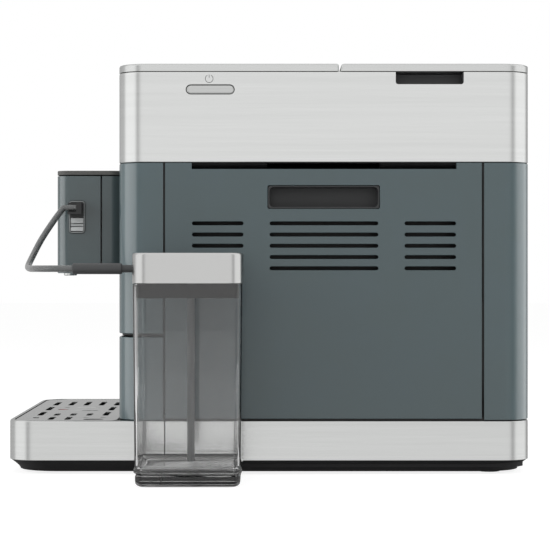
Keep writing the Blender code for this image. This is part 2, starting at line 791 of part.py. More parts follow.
def piece(name, bm, look, pivot=(0.0, 0.0, 0.0)):
    """Object for one sub-part, with its origin at the pivot."""
    mesh = bpy.data.meshes.new(name)
    bm.transform(Matrix.Translation(-Vector(pivot)))
    bm.to_mesh(mesh)
    bm.free()
    mesh.shade_smooth()
    mesh.set_sharp_from_angle(angle=math.radians(35))
    color, roughness, metallic = LOOKS[look]
    mesh.materials.append(make_material(name, color, roughness, metallic))
    obj = bpy.data.objects.new(name, mesh)
    obj.location = Vector(pivot) + Vector((0.0, MACHINE_Y, 0.0))
    bpy.context.scene.collection.objects.link(obj)
    return obj


def combine(target, bm, operation):
    """Boolean modifier on the target with a hidden operand."""
    label = f"{target.name}_{operation.lower()}_{len(target.modifiers) + 1}"
    mesh = bpy.data.meshes.new(label)
    bm.to_mesh(mesh)
    bm.free()
    tool = bpy.data.objects.new(label, mesh)
    tool.location = (0.0, MACHINE_Y, 0.0)
    tool.hide_render = True
    tool.display_type = "WIRE"
    bpy.context.scene.collection.objects.link(tool)
    modifier = target.modifiers.new(label, "BOOLEAN")
    modifier.operation = operation
    modifier.solver = "EXACT"
    modifier.object = tool
    return modifier


def cut(target, *parts):
    """Take separate bodies away from the target."""
    combine(target, together(*parts), "DIFFERENCE")


def fuse(target, *parts):
    """Add bodies, one after the other, to the target."""
    for part in parts:
        combine(target, together(part), "UNION")


# Base

def base_outline(start_x, inset, rear=True):
    """Base plan from a seam to one end, drawn in all round except at the seam."""
    bend = CORNER_RADIUS - inset
    half = HALF_WIDTH - inset
    if rear:
        return rounded(start_x, REAR_X - inset, -half, half, (0, bend, bend, 0))
    return rounded(FRONT_X + inset, start_x, -half, half, (bend, 0, 0, bend))


def plinth_outline(start_x, taper_share, rear):
    """Plinth plan, from its edge under the band at share 0 to its narrow foot at share 1."""
    end_inset = PLINTH_EDGE + PLINTH_END_TAPER * taper_share
    half = HALF_WIDTH - PLINTH_EDGE - PLINTH_SIDE_TAPER * taper_share
    bend = CORNER_RADIUS + (PLINTH_FOOT_CORNER - CORNER_RADIUS) * taper_share
    if rear:
        return rounded(start_x, REAR_X - end_inset, -half, half, (0, bend, bend, 0))
    return rounded(FRONT_X + end_inset, start_x, -half, half, (bend, 0, 0, bend))


def plinth_levels(start_x, rear):
    """Chamfered plinth, from its narrow foot up to its edge."""
    rise = PLINTH_TOP - GAP - FOOT_LIFT
    return [
        (FOOT_LIFT + rise * height_share, plinth_outline(start_x, taper_share, rear))
        for height_share, taper_share in PLINTH_SHARES
    ]


def make_base():
    """Base frame with its plinth, the steel band round it and the rubber feet."""
    frame = piece("base_frame", loft(plinth_levels(FIXED_START_X, True)), "black")
    fuse(frame, prism(base_outline(FIXED_START_X, BASE_CORE_INSET), PLINTH_TOP / 2, BASE_CORE_TOP))
    feet = (
        ("foot_front_near", FOOT_FRONT_X, -FOOT_Y),
        ("foot_front_far", FOOT_FRONT_X, FOOT_Y),
        ("foot_rear_near", FOOT_REAR_X, -FOOT_Y),
        ("foot_rear_far", FOOT_REAR_X, FOOT_Y),
    )
    sockets = []
    for name, x, y in feet:
        socket_profile = [
            (FOOT_RADIUS + GAP, FOOT_LIFT - CUT_OVERRUN),
            (FOOT_RADIUS + GAP, FOOT_HEIGHT + GAP),
        ]
        sockets.append(revolve(socket_profile, (x, y)))
        profile = [
            (FOOT_RADIUS - FOOT_EDGE, 0),
            (FOOT_RADIUS, FOOT_EDGE),
            (FOOT_RADIUS, FOOT_HEIGHT),
        ]
        piece(name, revolve(profile, (x, y)), "rubber", (x, y, 0))
    cut(frame, *sockets)
    band_levels = edge_levels(PLINTH_TOP, BASE_TOP, BAND_LOW_ROUND, BAND_TOP_ROUND)
    rear = [
        (height, horseshoe(FIXED_START_X, REAR_X, HALF_WIDTH, CORNER_RADIUS, BASE_BAND_WALL, inset))
        for height, inset in band_levels
    ]
    piece("base_band_rear", loft(rear), "steel")


# Chassis and covers

def body_outline(inset):
    """Full plan of the body above the base."""
    return rounded(
        BODY_FRONT_X + inset, REAR_X - inset, -HALF_WIDTH + inset, HALF_WIDTH - inset, CORNER_RADIUS - inset
    )


def chute_levels(grow):
    """Sloping chute as sections along x."""
    levels = []
    for x, z in ((CHUTE_START_X, CHUTE_START_Z), (CHUTE_END_X, CHUTE_END_Z)):
        half_y = CHUTE_HALF_WIDTH + grow
        half_z = CHUTE_HALF_HEIGHT + grow
        levels.append((x, rectangle(CHUTE_Y - half_y, CHUTE_Y + half_y, z - half_z, z + half_z)))
    return levels


def make_chassis():
    """Moulded frame behind the covers, with a room for each unit."""
    side = HALF_WIDTH - COVER_INSET
    chassis = piece("chassis", prism(body_outline(COVER_INSET), CHASSIS_LOW, CHASSIS_TOP), "dark")
    cut(chassis, box(
        BODY_FRONT_X - CUT_OVERRUN, FIXED_START_X + GAP, -HALF_WIDTH, HALF_WIDTH,
        CHASSIS_LOW - CUT_OVERRUN, DRAWER_TOP + COVER_SPLIT_GAP / 2,
    ))
    tank_x0 = TANK_X - TANK_HALF_X - TANK_BAY_CLEARANCE
    tank_x1 = TANK_X + TANK_HALF_X + TANK_BAY_CLEARANCE
    tank_y = TANK_HALF_Y + TANK_BAY_CLEARANCE
    cut(
        chassis,
        box(
            DRAWER_SEAM_X - CUT_OVERRUN, DRAWER_BAY_REAR, -DRAWER_BAY_HALF, DRAWER_BAY_HALF,
            CHASSIS_LOW - CUT_OVERRUN, DRAWER_BAY_TOP,
        ),
        box(
            SERVICE_BAY_FRONT, SERVICE_BAY_REAR, -side + AIR_DUCT_DEPTH + ROOM_WALL, SERVICE_BAY_INNER_Y,
            ROOM_FLOOR, SERVICE_BAY_TOP,
        ),
        box(
            SERVICE_BAY_FRONT, SERVICE_BAY_REAR, MACHINE_ROOM_INNER_Y, side + CUT_OVERRUN,
            ROOM_FLOOR, SERVICE_BAY_TOP,
        ),
        prism(
            rounded(tank_x0, tank_x1, -tank_y, tank_y, TANK_CORNER, EDGE_STEPS),
            TANK_BOTTOM - TANK_TRAVEL_GAP, CHASSIS_TOP + CUT_OVERRUN,
        ),
        box(
            GRINDER_X - GRINDER_ROOM_HALF_X, GRINDER_X + GRINDER_ROOM_HALF_X,
            -GRINDER_ROOM_HALF_Y, GRINDER_ROOM_HALF_Y, GRINDER_ROOM_FLOOR, CHASSIS_TOP + CUT_OVERRUN,
        ),
        box(
            AIR_DUCT_FRONT, AIR_DUCT_REAR, -side - CUT_OVERRUN, -side + AIR_DUCT_DEPTH,
            AIR_DUCT_LOW, AIR_DUCT_HIGH,
        ),
        box(
            FINGER_SLOT_FRONT, FINGER_SLOT_REAR, -side - CUT_OVERRUN, -side + FINGER_SLOT_DEPTH,
            FINGER_SLOT_LOW, CHASSIS_TOP + CUT_OVERRUN,
        ),
    )
    cut(chassis, box(
        SERVICE_BAY_FRONT, SERVICE_BAY_REAR, -side - CUT_OVERRUN, -side + AIR_DUCT_DEPTH + ROOM_WALL + GAP,
        ROOM_FLOOR, AIR_DUCT_LOW - ROOM_WALL,
    ))
    cut(chassis, box(
        PANEL_NOTCH_FRONT, PANEL_NOTCH_REAR, -side - CUT_OVERRUN, -side + SHADOW_SLOT_DEPTH,
        BODY_TOP - PANEL_NOTCH_DEPTH, CHASSIS_TOP + CUT_OVERRUN,
    ))
    cut(chassis, loft(chute_levels(GAP), "X"))
    cut(
        chassis,
        box(
            BODY_FRONT_X, BODY_FRONT_X + COVER_INSET + TRACK_DEPTH, -SLOT_HALF_WIDTH - TRACK_WALL,
            SLOT_HALF_WIDTH + TRACK_WALL, SLOT_LOW - TRACK_WALL, SLOT_HIGH + TRACK_WALL,
        ),
        box(
            REAR_X - INLET_DEPTH - GAP, REAR_X, INLET_Y - INLET_HALF_WIDTH - GAP,
            INLET_Y + INLET_HALF_WIDTH + GAP, INLET_Z - INLET_HALF_HEIGHT - GAP, INLET_Z + INLET_HALF_HEIGHT + GAP,
        ),
        revolve(
            [
                (VALVE_RADIUS + VALVE_CLEARANCE, TANK_BOTTOM - VALVE_HEIGHT - GAP),
                (VALVE_RADIUS + VALVE_CLEARANCE, TANK_BOTTOM),
            ],
            (TANK_X, 0),
        ),
    )


def make_covers():
    """Front, rear and side covers in body colour."""
    lower = edge_levels(BODY_LOW, DRAWER_TOP, COVER_ROUND, COVER_ROUND)
    upper = edge_levels(DRAWER_TOP + COVER_SPLIT_GAP, BODY_TOP, COVER_ROUND, COVER_ROUND)
    full = edge_levels(BODY_LOW, BODY_TOP, COVER_ROUND, COVER_ROUND)
    drawer_cover = [
        (height, horseshoe(DRAWER_END_X, BODY_FRONT_X, HALF_WIDTH, CORNER_RADIUS, COVER_WALL, inset))
        for height, inset in lower
    ]
    piece("lower_front_cover", loft(drawer_cover), "green", (BODY_FRONT_X, 0, BODY_LOW))
    front_levels = [
        (height, horseshoe(DRAWER_END_X, BODY_FRONT_X, HALF_WIDTH, CORNER_RADIUS, COVER_WALL, inset))
        for height, inset in upper
    ]
    front = piece("front_cover", loft(front_levels), "green")
    cut(front, prism(
        rounded(-SLOT_HALF_WIDTH, SLOT_HALF_WIDTH, SLOT_LOW, SLOT_HIGH, COVER_WALL, EDGE_STEPS),
        BODY_FRONT_X - CUT_OVERRUN, BODY_FRONT_X + COVER_WALL + CUT_OVERRUN, "X",
    ))
    rear_levels = [
        (height, horseshoe(REAR_COVER_X, REAR_X, HALF_WIDTH, CORNER_RADIUS, COVER_WALL, inset))
        for height, inset in full
    ]
    rear = piece("rear_cover", loft(rear_levels), "green")
    openings = [
        slot(BACK_VENT_Y - BACK_VENT_HALF, BACK_VENT_Y + BACK_VENT_HALF, low, low + VENT_HEIGHT, VENT_STEPS)
        for low in vent_rows()
    ]
    openings.append(rounded(
        INLET_Y - INLET_HALF_WIDTH - GAP, INLET_Y + INLET_HALF_WIDTH + GAP,
        INLET_Z - INLET_HALF_HEIGHT - GAP, INLET_Z + INLET_HALF_HEIGHT + GAP, INLET_CORNER, EDGE_STEPS,
    ))
    cut(rear, *(
        prism(opening, REAR_X - COVER_WALL - CUT_OVERRUN / 2, REAR_X + CUT_OVERRUN, "X") for opening in openings
    ))
    far = rectangle(FIXED_START_X, PANEL_END_X, BODY_LOW, BODY_TOP)
    piece("far_side_panel", prism(far, HALF_WIDTH - COVER_WALL, HALF_WIDTH, "Y"), "green")
    make_inlet()


def vent_rows():
    """Lower edges of the vent rows, from the top row down."""
    return [VENT_TOP - VENT_HEIGHT / 2 - row * VENT_PITCH for row in range(VENT_ROWS)]


def make_inlet():
    """Mains inlet with its three pins, flush in the rear cover."""
    outer_x = REAR_X - GAP
    inner_x = REAR_X - INLET_DEPTH
    y0 = INLET_Y - INLET_HALF_WIDTH
    y1 = INLET_Y + INLET_HALF_WIDTH
    z0 = INLET_Z - INLET_HALF_HEIGHT
    z1 = INLET_Z + INLET_HALF_HEIGHT
    shell = rounded(y0, y1, z0, z1, INLET_CORNER, EDGE_STEPS)
    hollow = rounded(
        y0 + INLET_WALL, y1 - INLET_WALL, z0 + INLET_WALL, z1 - INLET_WALL, INLET_CORNER - INLET_WALL, EDGE_STEPS
    )
    body = cup(
        [(inner_x, shell), (outer_x, shell)], [(inner_x + INLET_FLOOR, hollow), (outer_x, hollow)], "X"
    )
    inlet = piece("mains_inlet", body, "black")
    for offset, rise in ((-INLET_PIN_PITCH, 0), (0, INLET_PIN_RISE), (INLET_PIN_PITCH, 0)):
        y = INLET_Y + offset
        z = INLET_Z + rise
        pin = rectangle(
            y - INLET_PIN_HALF, y + INLET_PIN_HALF, z - INLET_PIN_TALL_HALF, z + INLET_PIN_TALL_HALF
        )
        fuse(inlet, prism(pin, inner_x + INLET_FLOOR / 2, inner_x + INLET_FLOOR + INLET_PIN_LENGTH, "X"))


def make_service_panel():
    """Side panel with vents and a grip, hinged at its lower edge."""
    top = BODY_TOP
    low_top = BODY_TOP - PANEL_NOTCH_DEPTH
    outline = [
        (FIXED_START_X, BODY_LOW), (PANEL_END_X, BODY_LOW), (PANEL_END_X, top),
        (PANEL_NOTCH_REAR, top), (PANEL_NOTCH_REAR, low_top),
        (PANEL_NOTCH_FRONT, low_top), (PANEL_NOTCH_FRONT, top), (FIXED_START_X, top),
    ]
    holes = [
        slot(x0, x1, low, low + VENT_HEIGHT, VENT_STEPS)
        for low in vent_rows() for x0, x1 in (FRONT_VENT, MIDDLE_VENT, REAR_VENT)
    ]
    holes.append(rounded(GRIP_FRONT, GRIP_REAR, GRIP_LOW, GRIP_HIGH, GRIP_ROUND, EDGE_STEPS))
    pivot = ((FIXED_START_X + PANEL_END_X) / 2, PANEL_PIVOT_Y, PANEL_PIVOT_Z)
    inner_y = -HALF_WIDTH + COVER_WALL
    piece("service_panel", pierced(outline, holes, -HALF_WIDTH, inner_y, "Y"), "green", pivot)
    face = inner_y - COVER_WALL / 2
    back = inner_y + GRIP_DEPTH
    flange = inner_y + GAP
    outer = [
        (face, grip_outline(-GAP)), (flange, grip_outline(-GAP)), (flange, grip_outline(GRIP_FLANGE)),
        (flange + GRIP_WALL, grip_outline(GRIP_FLANGE)), (flange + GRIP_WALL, grip_outline(-GAP)),
        (back, grip_outline(-GAP)),
    ]
    inner = [(face, grip_outline(-GAP - GRIP_WALL)), (back - GRIP_WALL, grip_outline(-GAP - GRIP_WALL))]
    piece("panel_grip", cup(outer[::-1], inner[::-1], "Y"), "dark", pivot)


def grip_outline(grow):
    """Plan of the grip opening, grown or drawn in."""
    return rounded(
        GRIP_FRONT - grow, GRIP_REAR + grow, GRIP_LOW - grow, GRIP_HIGH + grow, GRIP_ROUND + abs(grow), EDGE_STEPS
    )


# Upper deck, band, display and button

def make_top():
    """Steel band round the upper deck, with the display and the power button in it."""
    deck_x0 = BODY_FRONT_X + COVER_INSET
    side = HALF_WIDTH - COVER_INSET
    inner = body_outline(UPPER_BAND_WALL)
    levels = edge_levels(UPPER_LOW, BAND_TOP, UPPER_BAND_ROUND, UPPER_BAND_ROUND)
    band_outer = [(height, body_outline(inset)) for height, inset in levels]
    band = piece("upper_band", sleeve(band_outer, [(height, inner) for height, inset in levels]), "steel")
    notch_low = BAND_TOP - NOTCH_DEPTH
    notch = rounded(
        NOTCH_FRONT, NOTCH_REAR, notch_low, BAND_TOP + NOTCH_CORNER + CUT_OVERRUN, NOTCH_CORNER, EDGE_STEPS
    )
    cut(
        band,
        prism(notch, -HALF_WIDTH - CUT_OVERRUN, -HALF_WIDTH + UPPER_BAND_WALL + CUT_OVERRUN, "Y"),
        prism(
            button_outline(GAP), -HALF_WIDTH - CUT_OVERRUN, -HALF_WIDTH + UPPER_BAND_WALL + CUT_OVERRUN, "Y"
        ),
        prism(
            display_outline(GAP), BODY_FRONT_X - CUT_OVERRUN, BODY_FRONT_X + UPPER_BAND_WALL + CUT_OVERRUN, "X"
        ),
    )
    glass_x = BODY_FRONT_X + GAP
    piece("display_glass", prism(display_outline(0), glass_x, glass_x + DISPLAY_THICKNESS, "X"), "black")

    deck = piece("top_frame", prism(body_outline(COVER_INSET), DECK_LOW, DECK_TOP), "black")
    tank = TANK_BAY_CLEARANCE
    cut(
        deck,
        loft(hopper_levels(HOPPER_CLEARANCE, True)),
        prism(
            rounded(
                TANK_X - TANK_HALF_X - tank, TANK_X + TANK_HALF_X + tank, -TANK_HALF_Y - tank,
                TANK_HALF_Y + tank, TANK_CORNER, EDGE_STEPS,
            ),
            DECK_LOW - CUT_OVERRUN, DECK_TOP + CUT_OVERRUN,
        ),
        prism(notch, -side - CUT_OVERRUN, -side + NOTCH_REACH, "Y"),
        prism(
            button_outline(BUTTON_FLANGE + RUNNING_GAP), -side - CUT_OVERRUN,
            -side + BUTTON_FLANGE_THICKNESS + BUTTON_TRAVEL + GAP, "Y",
        ),
        box(
            HOPPER_LID_X - BRACKET_HALF - GAP, HOPPER_LID_X + BRACKET_HALF + GAP,
            PIN_Y - BRACKET_DEPTH - GAP, side + CUT_OVERRUN, TANK_TOP, DECK_TOP + CUT_OVERRUN,
        ),
    )
    cut(deck, box(
        TANK_LID_X - BRACKET_HALF - RUNNING_GAP, TANK_LID_X + BRACKET_HALF + RUNNING_GAP,
        TANK_HALF_Y - TANK_WALL, side + CUT_OVERRUN, TANK_TOP, DECK_TOP + CUT_OVERRUN,
    ))
    face_y = -HALF_WIDTH + BUTTON_SET_BACK
    flange_y = -side
    button_levels = [
        (face_y, button_outline(-BUTTON_CROWN)),
        (face_y + BUTTON_CROWN / 2, button_outline(-BUTTON_CROWN / 3)),
        (face_y + BUTTON_CROWN, button_outline(0)),
        (flange_y, button_outline(0)),
        (flange_y, button_outline(BUTTON_FLANGE)),
        (flange_y + BUTTON_FLANGE_THICKNESS, button_outline(BUTTON_FLANGE)),
    ]
    pivot = ((BUTTON_FRONT + BUTTON_REAR) / 2, -HALF_WIDTH, (BUTTON_LOW + BUTTON_HIGH) / 2)
    piece("power_button", loft(button_levels, "Y"), "steel", pivot)


def button_outline(grow):
    """Pill shaped button outline, grown or drawn in."""
    return slot(BUTTON_FRONT - grow, BUTTON_REAR + grow, BUTTON_LOW - grow, BUTTON_HIGH + grow, BUTTON_STEPS)


def display_outline(grow):
    """Display outline in the front face, grown by a gap."""
    return rounded(
        -DISPLAY_HALF - grow, DISPLAY_HALF + grow, DISPLAY_LOW - grow, DISPLAY_HIGH + grow,
        DISPLAY_CORNER, EDGE_STEPS,
    )


# Lids and hinges

def lid_levels(front_x, rear_x, front_bend, rear_bend, slant):
    """Flat lid with a softened upper edge; its front edge leans back by the slant."""
    levels = []
    for height, inset in edge_levels(LID_LOW, LID_HIGH, 0, LID_TOP_ROUND):
        lean = slant * (height - LID_LOW) / LID_THICKNESS
        outline = rounded(
            front_x + inset + lean, rear_x - inset, -HALF_WIDTH + inset, HALF_WIDTH - inset,
            (max(front_bend - inset, 0), max(rear_bend - inset, 0),
             max(rear_bend - inset, 0), max(front_bend - inset, 0)),
        )
        levels.append((height, outline))
    return levels


def cut_hinge(lid, centre_x):
    """Round the lid's lower far edge about the pin and cut its bore and ear slots."""
    corner = [
        (HALF_WIDTH + CUT_OVERRUN, LID_LOW - CUT_OVERRUN),
        (HALF_WIDTH + CUT_OVERRUN, PIN_Z),
    ]
    corner += arc(PIN_Y, PIN_Z, PIN_INSET, 0, -90, HINGE_STEPS)
    corner.append((PIN_Y, LID_LOW - CUT_OVERRUN))
    cut(lid, prism(corner, BODY_FRONT_X - CUT_OVERRUN, REAR_X + CUT_OVERRUN, "X"))
    half = EAR_WIDTH / 2 + GAP
    slots = []
    for x in (centre_x - EAR_SPACING, centre_x + EAR_SPACING):
        opening = rectangle(
            PIN_Y - EAR_SLOT_RADIUS, HALF_WIDTH + CUT_OVERRUN, LID_LOW - CUT_OVERRUN, PIN_Z + EAR_SLOT_RADIUS
        )
        slots.append(prism(opening, x - half, x + half, "X"))
    cut(lid, *slots)
    reach = EAR_SPACING + EAR_WIDTH / 2 + PIN_OVERHANG + GAP
    bore = [(PIN_BORE, centre_x - reach), (PIN_BORE, centre_x + reach)]
    cut(lid, revolve(bore, (PIN_Y, PIN_Z), "X", steps=HINGE_STEPS))


def hinge_bracket(name, centre_x, inner_y, look):
    """Plate with two ears and a pin, below the lid's far edge."""
    plate_z = TANK_TOP + BRACKET_REACH
    outer_y = HALF_WIDTH - COVER_INSET - BRACKET_REACH
    pivot = (centre_x, PIN_Y, PIN_Z)
    plate = box(
        centre_x - BRACKET_HALF, centre_x + BRACKET_HALF, inner_y, outer_y, plate_z, plate_z + BRACKET_THICKNESS
    )
    bracket = piece(name, plate, look, pivot)
    rise = math.asin((outer_y - PIN_Y) / EAR_RADIUS)
    ear = [(PIN_Y - EAR_RADIUS, plate_z), (outer_y, plate_z)]
    ear += arc(PIN_Y, PIN_Z, EAR_RADIUS, -90 + math.degrees(rise), 180, HINGE_STEPS)
    for x in (centre_x - EAR_SPACING, centre_x + EAR_SPACING):
        fuse(bracket, prism(ear, x - EAR_WIDTH / 2, x + EAR_WIDTH / 2, "X"))
    reach = EAR_SPACING + EAR_WIDTH / 2 + PIN_OVERHANG
    pin = [(PIN_RADIUS, centre_x - reach), (PIN_RADIUS, centre_x + reach)]
    fuse(bracket, revolve(pin, (PIN_Y, PIN_Z), "X", steps=HINGE_STEPS))


def make_lids():
    """Hopper lid on the deck and tank lid on the tank, each with its hinge."""
    hopper = piece(
        "hopper_lid", loft(lid_levels(BODY_FRONT_X, LID_SPLIT_X, CORNER_RADIUS, LID_CORNER, 0)), "steel",
        (HOPPER_LID_X, PIN_Y, PIN_Z),
    )
    cut_hinge(hopper, HOPPER_LID_X)
    tank = piece(
        "tank_lid", loft(lid_levels(TANK_LID_FRONT_X, REAR_X, LID_CORNER, CORNER_RADIUS, LID_SPLIT_SLANT)),
        "steel", (TANK_LID_X, PIN_Y, PIN_Z),
    )
    cut_hinge(tank, TANK_LID_X)
    hinge_bracket("hopper_lid_hinge", HOPPER_LID_X, PIN_Y - BRACKET_DEPTH, "dark")
    hinge_bracket("tank_lid_hinge", TANK_LID_X, TANK_HALF_Y - TANK_WALL, "dark")


# Bean hopper and grinder

def hopper_levels(grow, cutter=False):
    """Funnel from a round neck to a rectangle, grown or drawn in by a wall or a clearance."""
    neck = HOPPER_NECK_RADIUS + grow
    low = CHASSIS_TOP - HOPPER_NECK_LENGTH / 2 + GAP
    funnel = low + HOPPER_NECK_LENGTH
    top = DECK_TOP - HOPPER_TOP_DROP
    if cutter:
        low = DECK_LOW - CUT_OVERRUN
        top = DECK_TOP + CUT_OVERRUN
    circle = rounded(GRINDER_X - neck, GRINDER_X + neck, -neck, neck, neck)
    half_x = HOPPER_HALF_X + grow
    half_y = HOPPER_HALF_Y + grow
    frame = rounded(
        GRINDER_X - half_x, GRINDER_X + half_x, -half_y, half_y, HOPPER_CORNER + grow
    )
    return [(low, circle), (funnel, circle), (funnel + HOPPER_FUNNEL_HEIGHT, frame), (top, frame)]


def make_grinder():
    """Bean hopper, burr set, housing, motor and the chute to the brew group."""
    centre = (GRINDER_X, 0)
    piece("bean_hopper", sleeve(hopper_levels(0), hopper_levels(-HOPPER_WALL)), "clear")
    motor_low = GRINDER_ROOM_FLOOR + GAP
    motor_top = motor_low + MOTOR_HEIGHT
    motor = [
        (MOTOR_CAP_RADIUS, motor_low), (MOTOR_CAP_RADIUS, motor_low + MOTOR_CAP_HEIGHT),
        (MOTOR_RADIUS, motor_low + MOTOR_CAP_HEIGHT), (MOTOR_RADIUS, motor_top - MOTOR_CAP_HEIGHT),
        (MOTOR_CAP_RADIUS, motor_top - MOTOR_CAP_HEIGHT), (MOTOR_CAP_RADIUS, motor_top),
    ]
    piece("grinder_motor", revolve(motor, centre), "grey")
    low = motor_top + GAP
    top = low + HOUSING_HEIGHT
    ledge = low + HOUSING_LEDGE_HEIGHT
    housing = [
        (HOUSING_RADIUS, low), (HOUSING_RADIUS, top), (HOUSING_BORE, top), (HOUSING_BORE, ledge),
        (HOUSING_BORE - HOUSING_LEDGE, ledge), (HOUSING_BORE - HOUSING_LEDGE, low + HOUSING_FLOOR),
        (SHAFT_RADIUS + RUNNING_GAP, low + HOUSING_FLOOR), (SHAFT_RADIUS + RUNNING_GAP, low),
    ]
    piece("grinder_housing", revolve(housing, centre, ring=True), "dark")
    burr_low = ledge + GAP
    burr_top = burr_low + BURR_HEIGHT
    rim = HOUSING_BORE - GAP
    ring = [
        (rim, burr_low), (rim, burr_top), (rim - BURR_WALL_HIGH, burr_top), (rim - BURR_WALL_LOW, burr_low),
    ]
    piece("ring_burr", revolve(ring, centre, ring=True), "ceramic")
    cone = [
        (SHAFT_RADIUS, low + GAP), (SHAFT_RADIUS, burr_low), (rim - BURR_WALL_LOW - BURR_RUN, burr_low),
        (CONE_TOP_RADIUS, burr_top), (CONE_TOP_RADIUS / 2, burr_top + CONE_TIP),
    ]
    piece("burr_cone", revolve(cone, centre), "ceramic", (GRINDER_X, 0, burr_low))
    outer = chute_levels(0)
    inner = chute_levels(-CHUTE_WALL)
    piece("ground_coffee_chute", sleeve(outer, inner, "X"), "dark")


# Brew group

def gear_outline(centre, radius, depth, teeth):
    """Straight sided gear outline."""
    points = []
    for i in range(teeth):
        for share, raised in TOOTH_SHARES:
            reach = radius if raised else radius - depth
            angle = 2 * math.pi * (i + share) / teeth
            points.append((centre[0] + reach * math.cos(angle), centre[1] + reach * math.sin(angle)))
    return points


def make_brew_group():
    """Frame with the brewing chamber, its piston and the threaded spindle's core and gear."""
    centre = (BREW_X, BREW_Y)
    floor = ROOM_FLOOR + GAP
    chamber_low = BREW_SHELF_LOW + BREW_SHELF_THICKNESS + GAP
    frame_top = chamber_low + BREW_CHAMBER_HEIGHT - CONE_TIP
    x0 = BREW_X - BREW_FRAME_HALF
    x1 = BREW_X + BREW_FRAME_HALF
    y0 = BREW_Y - BREW_FRAME_DEPTH_HALF
    y1 = BREW_Y + BREW_FRAME_DEPTH_HALF
    shelf_top = BREW_SHELF_LOW + BREW_SHELF_THICKNESS
    wall = BREW_FRAME_WALL
    outline = [
        (x0, floor), (x1, floor), (x1, frame_top), (x1 - wall, frame_top), (x1 - wall, shelf_top),
        (x0 + wall, shelf_top), (x0 + wall, frame_top), (x0, frame_top),
    ]
    window = rectangle(x0 + wall, x1 - wall, floor + wall, BREW_SHELF_LOW)
    frame = piece("brew_group_frame", pierced(outline, [window], y0, y1, "Y"), "dark")
    rod_hole = PISTON_ROD_RADIUS + RUNNING_GAP
    cut(frame, revolve(
        [(rod_hole, BREW_SHELF_LOW - CUT_OVERRUN), (rod_hole, shelf_top + CUT_OVERRUN)], centre
    ))
    chamber_floor = chamber_low + BREW_CHAMBER_FLOOR
    chamber = [
        (BREW_CHAMBER_RADIUS, chamber_low), (BREW_CHAMBER_RADIUS, chamber_low + BREW_CHAMBER_HEIGHT),
        (BREW_CHAMBER_BORE, chamber_low + BREW_CHAMBER_HEIGHT), (BREW_CHAMBER_BORE, chamber_floor),
        (rod_hole, chamber_floor), (rod_hole, chamber_low),
    ]
    piece("brew_chamber", revolve(chamber, centre, ring=True), "grey")
    disc = chamber_floor + PISTON_LIFT
    rod_low = disc - PISTON_ROD_LENGTH
    bore = SPINDLE_RADIUS + SPINDLE_BORE_GAP
    bore_top = disc + PISTON_BORE_RISE
    piston = [
        (0, disc + PISTON_HEIGHT), (BREW_CHAMBER_BORE - PISTON_GAP, disc + PISTON_HEIGHT),
        (BREW_CHAMBER_BORE - PISTON_GAP, disc), (PISTON_ROD_RADIUS, disc), (PISTON_ROD_RADIUS, rod_low),
        (bore, rod_low), (bore, bore_top), (0, bore_top),
    ]
    piece("brew_piston", revolve(piston, centre), "black", (BREW_X, BREW_Y, disc))
    gear_low = floor + wall + SPINDLE_GEAR_LIFT
    gear = gear_outline(centre, SPINDLE_GEAR_RADIUS, SPINDLE_TOOTH_DEPTH, SPINDLE_TEETH)
    spindle = piece(
        "brew_spindle", prism(gear, gear_low, gear_low + SPINDLE_GEAR_HEIGHT), "steel", (BREW_X, BREW_Y, gear_low)
    )
    core = [(SPINDLE_RADIUS, floor + wall + GAP), (SPINDLE_RADIUS, bore_top - SPINDLE_TOP_GAP)]
    fuse(spindle, revolve(core, centre, steps=HINGE_STEPS))


# Machine room

def make_machine_room():
    """Heater block, pump and control board behind the far side panel."""
    floor = ROOM_FLOOR + GAP
    x0 = HEATER_X - HEATER_HALF_X
    x1 = HEATER_X + HEATER_HALF_X
    depth = HEATER_FIN_DEPTH
    pitch = (HEATER_HEIGHT - HEATER_FOOT) / HEATER_FIN_COUNT
    right = [(x1, floor)]
    for i in range(HEATER_FIN_COUNT):
        low = floor + HEATER_FOOT + i * pitch
        right += [(x1, low), (x1 - depth, low), (x1 - depth, low + HEATER_FIN_SLOT), (x1, low + HEATER_FIN_SLOT)]
    right.append((x1, floor + HEATER_HEIGHT))
    left = [(x0 + x1 - x, z) for x, z in reversed(right)]
    block = prism(without_repeats(right + left), HEATER_Y - HEATER_HALF_Y, HEATER_Y + HEATER_HALF_Y, "Y")
    piece("thermoblock", block, "aluminium")
    coil_low, coil_high = (floor + PUMP_HEIGHT * share for share in PUMP_COIL_SHARES)
    top = floor + PUMP_HEIGHT
    pump = [
        (PUMP_RADIUS, floor), (PUMP_RADIUS, coil_low), (PUMP_COIL_RADIUS, coil_low),
        (PUMP_COIL_RADIUS, coil_high), (PUMP_RADIUS, coil_high), (PUMP_RADIUS, top),
        (PUMP_PORT_RADIUS, top), (PUMP_PORT_RADIUS, top + PUMP_PORT_HEIGHT),
    ]
    piece("water_pump", revolve(pump, (PUMP_X, PUMP_Y)), "brass")
    board_x = (SERVICE_BAY_FRONT + SERVICE_BAY_REAR) / 2
    board = piece("control_board", box(
        board_x - BOARD_HALF_LENGTH, board_x + BOARD_HALF_LENGTH, BOARD_Y, BOARD_Y + BOARD_THICKNESS,
        floor, floor + BOARD_HEIGHT,
    ), "board")
    for along, up in CHIP_PLACE_SHARES:
        x = board_x + BOARD_HALF_LENGTH * along
        half = BOARD_HALF_LENGTH * CHIP_HALF_SHARE
        z = floor + BOARD_HEIGHT * up
        fuse(board, box(
            x - half, x + half, BOARD_Y + BOARD_THICKNESS / 2, BOARD_Y + BOARD_THICKNESS + CHIP_DEPTH,
            z - BOARD_HEIGHT * CHIP_HEIGHT_SHARE / 2, z + BOARD_HEIGHT * CHIP_HEIGHT_SHARE / 2,
        ))


# Water tank

